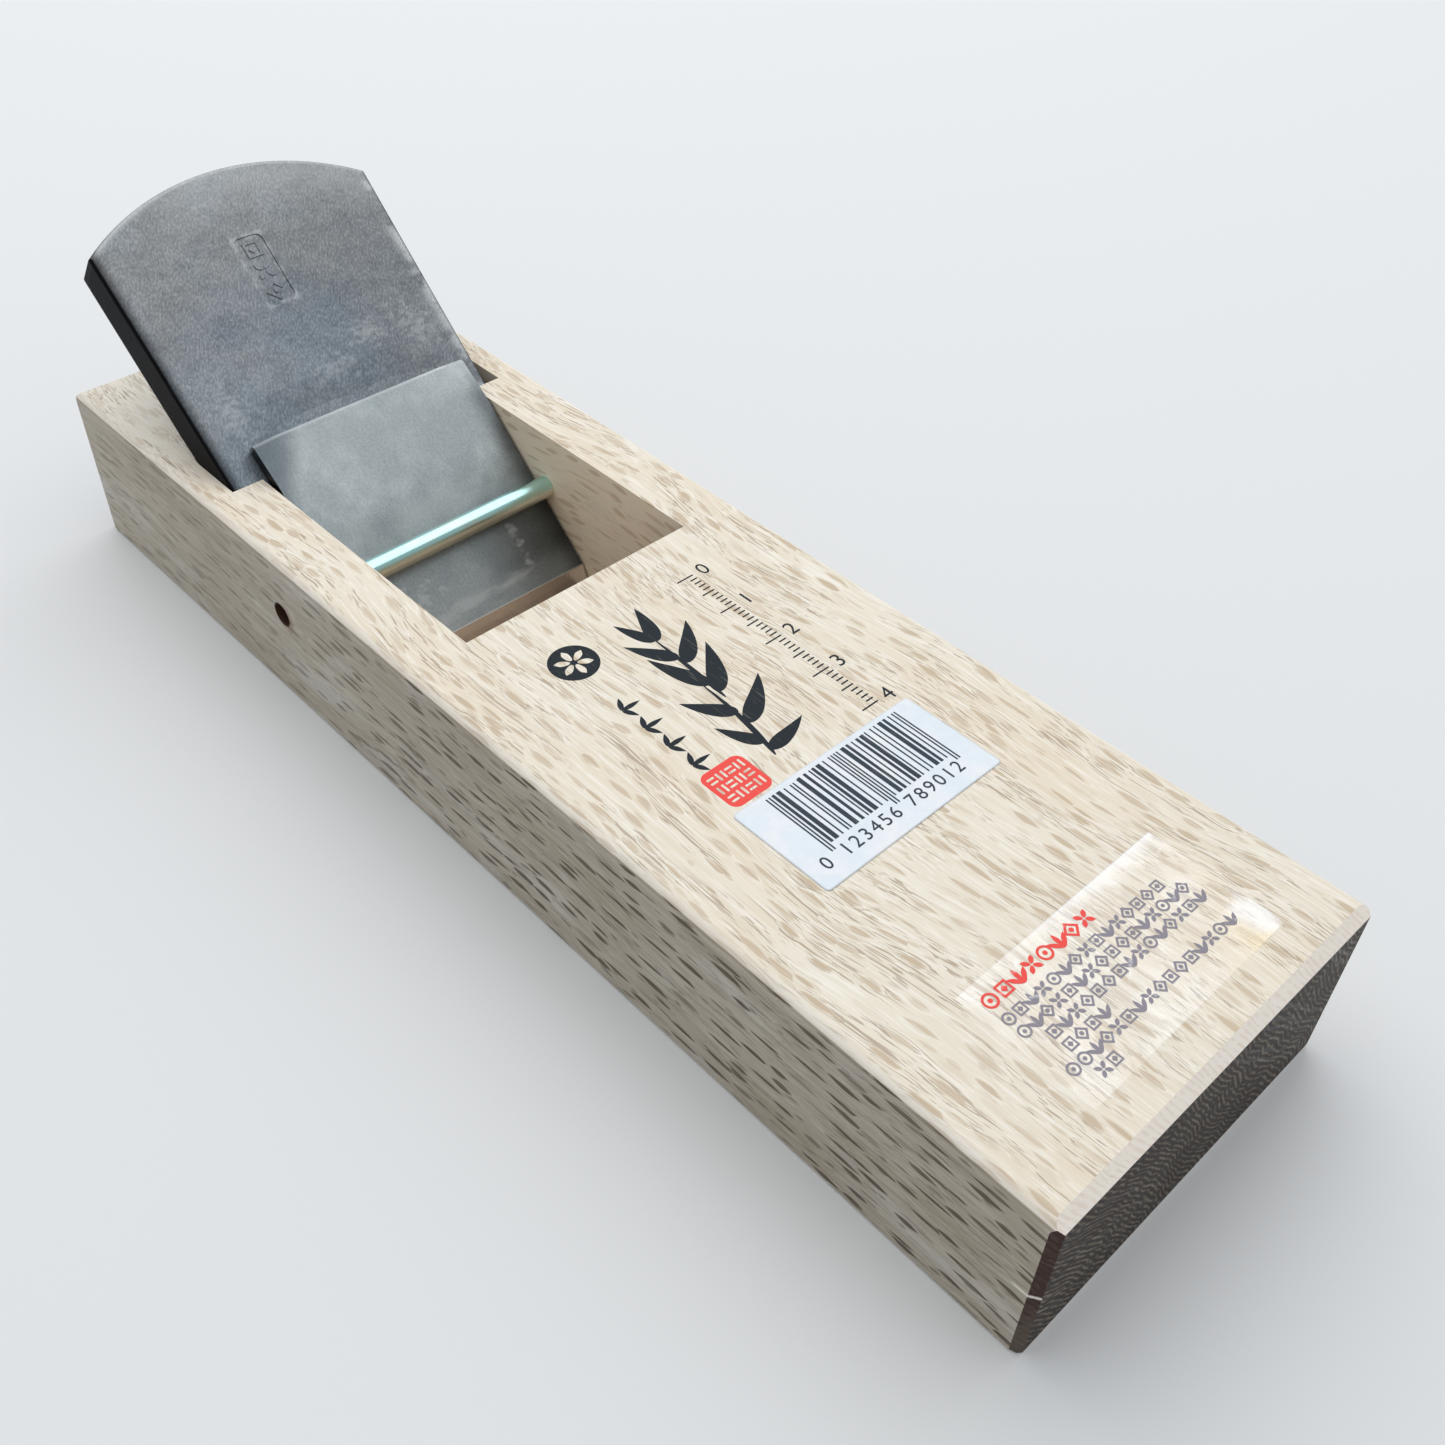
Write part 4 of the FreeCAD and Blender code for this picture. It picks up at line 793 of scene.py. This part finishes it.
def round_corner(vertex, low, high, radius):
    """Draws a grid's corner in to a quarter circle."""
    middle = (low + high) / 2
    arms = []
    for axis in (0, 1):
        arm = (abs(vertex.co[axis] - middle[axis]) - (high[axis] - middle[axis] - radius)) / radius
        arms.append(max(0.0, arm))
    for axis in (0, 1):
        kept = radius * arms[axis] * math.sqrt(1 - arms[1 - axis] ** 2 / 2)
        side = math.copysign(1.0, vertex.co[axis] - middle[axis])
        if arms[axis]:
            vertex.co[axis] = middle[axis] + side * (high[axis] - middle[axis] - radius + kept)


def flat_grid(low, high, columns, rows):
    size = high - low
    grid = bmesh.new()
    bmesh.ops.create_grid(grid, x_segments=columns, y_segments=rows, size=0.5,
                          matrix=Matrix.Diagonal((size.x, size.y, 1, 1)))
    bmesh.ops.translate(grid, verts=grid.verts, vec=((low.x + high.x) / 2, (low.y + high.y) / 2, 0))
    return grid


label = flat_grid(LABEL_LOW, LABEL_HIGH, 54, 106)
for vertex in label.verts:
    inward = min(vertex.co.x - LABEL_LOW.x, LABEL_HIGH.x - vertex.co.x, vertex.co.y - LABEL_LOW.y,
                 LABEL_HIGH.y - vertex.co.y)
    wave = 0.5 + 0.5 * noise.noise(Vector((vertex.co.x * 0.22, vertex.co.y * 0.22, 3.0)))
    vertex.co.z = LABEL_THICKNESS + 0.10 * wave * max(0.0, 1 - inward / 2.0)
    round_corner(vertex, LABEL_LOW, LABEL_HIGH, LABEL_CORNER)
for polygon in label.faces:
    polygon.smooth = True
bmesh.ops.solidify(label, geom=label.faces[:], thickness=LABEL_THICKNESS)
label_sheet = lay_down(label, "label_sheet", paper, "block", BLOCK_TOP)
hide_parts("paper_label")

bars = bmesh.new()


def upright_bar(start, width, length):
    """One bar, so many modules along the row and so many wide."""
    middle = (LABEL_LOW.x + BAR_START + length / 2, BARS_LOW + MODULE * (start + width / 2))
    rounded_plate(bars, middle, (length, MODULE * width * 0.92), 0.04, 8)


for pair in GUARD_BARS:
    for step in (0, 2):
        upright_bar(pair + step, 1, LONG_BAR)
for count in range(2 * HALF_DIGITS):
    first_gap, first_bar, second_gap, second_bar = BAR_RHYTHM[count % len(BAR_RHYTHM)]
    if count < HALF_DIGITS:
        place_at = LEFT_DIGITS + DIGIT_MODULES * count + first_gap
    else:
        place_at = RIGHT_DIGITS + DIGIT_MODULES * (count - HALF_DIGITS)
    upright_bar(place_at, first_bar, SHORT_BAR)
    upright_bar(place_at + first_bar + second_gap, second_bar, SHORT_BAR)
thicken(bars, INK_HEIGHT)
lay_down(bars, "label_bars", label_ink, "block", LABEL_TOP)

numbers = bmesh.new()
write_number(numbers, "0", DIGIT_SIZE, (DIGIT_LINE, BARS_LOW - 2.0), math.pi / 2)
for count in range(2 * HALF_DIGITS):
    if count < HALF_DIGITS:
        first, step = LEFT_DIGITS, count
    else:
        first, step = RIGHT_DIGITS, count - HALF_DIGITS
    module = first + DIGIT_MODULES * (step + 0.5)
    write_number(numbers, str((count + 1) % 10), DIGIT_SIZE, (DIGIT_LINE, BARS_LOW + MODULE * module),
                 math.pi / 2)
bmesh.ops.remove_doubles(numbers, verts=numbers.verts, dist=MERGE_WITHIN)
thicken(numbers, INK_HEIGHT)
lay_down(numbers, "label_numbers", label_ink, "block", LABEL_TOP)


# Clear film. A thin sticker of clear plastic at the leading end, put on with air under it, so that
# it is creased and milky in places, with rows of plain marks printed on it in red and grey.
FILM_LOW, FILM_HIGH = (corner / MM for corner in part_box("clear_film"))
FILM_CREASES = 34
FILM_THICKNESS = 0.012
MARK_HEIGHT = 0.012
FILM_UNDER = BLOCK_TOP + 0.014
HIGHEST_CREASE = 0.22
FILM_CLEAR = (0.975, 0.985, 1.0, 1)
FILM_YELLOW = (0.96, 0.88, 0.66, 1)

film = Finish("creased_film")
skin = film.millimetres()
milk = film.cloud(skin, 0.13, detail=3.0)
crease = film.cloud(skin, 0.34, (0.6, 1.0, 1.0), 2.0)
yellow = film.cloud(skin, 0.09, move=(3.0, 9.0, 0.0), detail=1.0)
corner = film.split(skin)
lifted = film.fade(film.total(corner[0], corner[1]), FILM_HIGH.x + 4.0, FILM_HIGH.x + 18.0)
# Towards the rear edge the film turns whiter in streaks: partly milky film, partly painted glare
edge_milk_and_glare = film.fade(film.total(corner[0], film.product(milk, 9.0)), FILM_LOW.x + 7.5, FILM_LOW.x + 4.5)
edge_milk_and_glare = film.product(edge_milk_and_glare, film.fade(corner[1], -12.0, 10.0, 0.30, 1.0))
blister = film.vector("SUBTRACT", skin, (FILM_HIGH.x - 2.5, FILM_HIGH.y - 4.0, BLOCK_TOP))
blister = film.add("VectorMath", {"operation": "LENGTH"}, Vector=blister).outputs["Value"]
blister = film.fade(film.total(blister, film.product(milk, -12.0)), -1.0, -4.0)
raised = film.fade(corner[2], BLOCK_TOP + 0.06, BLOCK_TOP + 0.16)
film_tone = film.mix(film.product(lifted, film.fade(yellow, 0.42, 0.60)), FILM_CLEAR, FILM_YELLOW)
film.feed(film.surface.inputs["Base Color"], film_tone)
film.feed(film.surface.inputs["Alpha"],
          film.total(film.fade(milk, 0.42, 0.66, 0.07, 0.24), film.product(edge_milk_and_glare, 0.38),
                     film.product(blister, 0.26), film.product(raised, 0.45)))
film.surface.inputs["Roughness"].default_value = 0.18
film.surface.inputs["Coat Weight"].default_value = 0.5
film.surface.inputs["Coat Roughness"].default_value = 0.08
film.bumps(crease, 0.10, 0.35)

film_size = FILM_HIGH - FILM_LOW
sheet_mesh = flat_grid(FILM_LOW, FILM_HIGH, 90, 170)
draw = random.Random(7)
creases = []
for number in range(FILM_CREASES):
    middle = Vector((FILM_LOW.x + film_size.x * draw.random(), FILM_HIGH.y - film_size.y * draw.random()))
    if number % 3 == 0:
        middle.x = FILM_LOW.x + film_size.x * 0.16 * draw.random()
    heading = draw.uniform(0.25, 0.75) * math.pi
    creases.append((middle, Vector((math.cos(heading), math.sin(heading))), draw.uniform(1.5, 4.8),
                    draw.uniform(0.16, 0.36), draw.uniform(0.03, 0.09)))


def film_lift(x, y):
    """How high the film stands off the wood here, over its waves and creases."""
    flat = Vector((x, y))
    lift = 0.02 * (1 + noise.noise(Vector((x * 0.25, y * 0.25, 0.0))))
    for middle, heading, length, width, height in creases:
        arm = flat - middle
        run = arm.dot(heading) / length
        off = (arm.x * heading.y - arm.y * heading.x) / width
        if abs(run) < 2.0 and abs(off) < 3.0:
            lift += height * math.exp(-run * run * 1.5 - off * off)
    inward = min(x - FILM_LOW.x, FILM_HIGH.x - x, y - FILM_LOW.y, FILM_HIGH.y - y)
    return min(lift, HIGHEST_CREASE) * min(1.0, 0.10 + max(0.0, inward) / 1.8)


for vertex in sheet_mesh.verts:
    vertex.co.z = film_lift(vertex.co.x, vertex.co.y)
for polygon in sheet_mesh.faces:
    polygon.smooth = True
bmesh.ops.solidify(sheet_mesh, geom=sheet_mesh.faces[:], thickness=FILM_THICKNESS)
film_sheet = lay_down(sheet_mesh, "film_sheet", film, "block", FILM_UNDER)
# Film this thin lets the light through, so it throws no shadow on the wood
film_sheet.visible_shadow = False
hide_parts("clear_film")


def open_ring(bm, middle, outer, inner, points, turn=0.0):
    """A flat ring, round or with corners."""
    loops = []
    for radius in (outer, inner):
        made = bmesh.ops.create_circle(bm, radius=radius, segments=points)["verts"]
        bmesh.ops.rotate(bm, verts=made, cent=(0, 0, 0), matrix=Matrix.Rotation(turn, 3, "Z"))
        bmesh.ops.translate(bm, verts=made, vec=(middle[0], middle[1], 0))
        loops += list({edge for vertex in made for edge in vertex.link_edges})
    bmesh.ops.bridge_loops(bm, edges=loops)


def plain_mark(bm, middle, size, kind):
    """One of five plain figures: ringed dot, lozenge, four petals, tile, and three leaves."""
    half = size / 2
    if kind == 0:
        open_ring(bm, middle, half, half * 0.70, 20)
        dot(bm, middle, half * 0.30, 12)
    elif kind == 1:
        open_ring(bm, middle, half * 1.18, half * 0.74, 4)
        dot(bm, middle, half * 0.32, 12)
    elif kind == 2:
        for petal in range(4):
            angle = (petal + 0.5) * math.pi / 2
            root = (middle[0] + half * 0.14 * math.cos(angle), middle[1] + half * 0.14 * math.sin(angle))
            brush_leaf(bm, root, angle, half * 1.15, size * 0.30, 0.0, 0.6)
    elif kind == 3:
        open_ring(bm, middle, half * 1.24, half * 0.86, 4, math.pi / 4)
        rounded_plate(bm, middle, (half * 0.66, half * 0.66), 0.06, 8, math.pi / 4)
    else:
        for layer, bend in enumerate((-0.75, 0.0, 0.75)):
            brush_leaf(bm, (middle[0] + half, middle[1]), math.pi + bend, size * 1.05, size * 0.30, 0.0, 0.6,
                       0.0008 * layer)


MARK_ORDER = (1, 3, 4, 2, 0, 4, 1, 2, 3, 4, 2, 1, 3)
INK_GREY = (0.300, 0.280, 0.325, 1)
grey_ink = ink_finish("grey_ink", INK_GREY)

# Each row: its place from the film's rear edge, where it starts and ends across the film, and the
# size and the pitch of its marks
for name, finish, rows in (
    ("film_marks_red", red_ink, ((3.2, 3.0, 22.0, 2.35, 2.70),)),
    ("film_marks_grey", grey_ink, ((6.4, 2.6, 34.0, 1.90, 2.20), (8.8, 2.6, 37.5, 1.90, 2.20),
                                   (11.2, 5.2, 37.5, 1.90, 2.20), (13.6, 5.2, 13.5, 1.90, 2.20),
                                   (16.0, 2.6, 37.5, 1.90, 2.20), (18.4, 5.2, 7.8, 1.90, 2.20))),
):
    marks = bmesh.new()
    for line, (row, start, end, tall, pitch) in enumerate(rows):
        for count in range(int((end - start) / pitch) + 1):
            kind = 0 if count == 0 and start < 4 else MARK_ORDER[(count + 4 * line) % len(MARK_ORDER)]
            plain_mark(marks, (FILM_LOW.x + row, FILM_LOW.y + start + pitch * count), tall, kind)
    thicken(marks, MARK_HEIGHT)
    for vertex in marks.verts:
        vertex.co.z += film_lift(vertex.co.x, vertex.co.y)
    lay_down(marks, name, finish, "block", FILM_UNDER)


# Struck figures. Three plain figures left standing, a little worn, on the floor of the panel struck
# in the blade: a tile, four petals and a lozenge, of the same iron as the blade.
PANEL_FLOOR = -0.21
FIGURE_HEIGHT = 0.17
FIGURE_SIZE = 3.3
FIGURE_PITCH = 4.05
blade_frame = Matrix.Translation((
    -MM * (EDGE_ALONG * math.cos(FACE_SLOPE) + FACE_DEPTH * math.sin(FACE_SLOPE)), 0,
    MM * (EDGE_ALONG * math.sin(FACE_SLOPE) - FACE_DEPTH * math.cos(FACE_SLOPE)),
)) @ Matrix.Rotation(FACE_SLOPE, 4, "Y")

figures = bmesh.new()
for step, kind in ((-1, 3), (0, 2), (1, 1)):
    plain_mark(figures, (PANEL_MIDDLE[0] + FIGURE_PITCH * step, PANEL_MIDDLE[1]), FIGURE_SIZE, kind)
thicken(figures, FIGURE_HEIGHT)
lay_down(figures, "struck_figures", forged, "blade", PANEL_FLOOR, blade_frame)


# Floor, light and camera. A pale studio table under one broad soft lamp above and behind the
# plane, with an even pale room round it. The camera stands where the photograph was taken.
CAMERA_PLACE = (0.14292, -0.11725, 0.18020)
CAMERA_TURN = (46.526, -1.429, 46.397)
CAMERA_LENS = 37.67
FLOOR_PALE = (0.80, 0.81, 0.82, 1)
FLOOR_BOUNCE = (0.50, 0.50, 0.50, 1)
FLOOR_HALF_SIZE = 6.0
ROOM_COLOUR = (0.93, 0.97, 1.0, 1)
ROOM_STRENGTH = 0.45
LAMP_PLACE = (-0.36, 0.28, 1.06)
LAMP_SIZE = (2.0, 1.9)
LAMP_POWER = 15.2

table = Finish("pale_table")
rays = table.add("LightPath").outputs
seen = table.math("MAXIMUM", rays["Is Camera Ray"], rays["Is Glossy Ray"])
seen = table.math("MAXIMUM", seen, rays["Is Transmission Ray"])
table.feed(table.surface.inputs["Base Color"], table.mix(seen, FLOOR_BOUNCE, FLOOR_PALE))
table.surface.inputs["Roughness"].default_value = 0.9
table.surface.inputs["Specular IOR Level"].default_value = 0.1
ground_mesh = bmesh.new()
bmesh.ops.create_grid(ground_mesh, x_segments=1, y_segments=1, size=FLOOR_HALF_SIZE)
mesh = bpy.data.meshes.new("floor")
ground_mesh.to_mesh(mesh)
ground_mesh.free()
mesh.materials.append(table.material)
floor = bpy.data.objects.new("floor", mesh)
bpy.context.scene.collection.objects.link(floor)

world = bpy.data.worlds.new("studio")
world.use_nodes = True
world.node_tree.nodes["Background"].inputs["Color"].default_value = ROOM_COLOUR
world.node_tree.nodes["Background"].inputs["Strength"].default_value = ROOM_STRENGTH
bpy.context.scene.world = world


lamp = bpy.data.lights.new("overhead", "AREA")
lamp.shape = "RECTANGLE"
lamp.size, lamp.size_y = LAMP_SIZE
lamp.energy = LAMP_POWER
stand = bpy.data.objects.new("overhead", lamp)
stand.location = LAMP_PLACE
stand.rotation_euler = (-Vector(LAMP_PLACE)).to_track_quat("-Z", "Y").to_euler()
bpy.context.scene.collection.objects.link(stand)

camera = bpy.data.cameras.new("camera")
camera.sensor_width = 36
camera.lens = CAMERA_LENS
camera.clip_start = 0.01
eye = bpy.data.objects.new("camera", camera)
eye.location = CAMERA_PLACE
eye.rotation_euler = [math.radians(angle) for angle in CAMERA_TURN]
bpy.context.scene.collection.objects.link(eye)
bpy.context.scene.camera = eye
bpy.context.scene.view_settings.view_transform = "Standard"
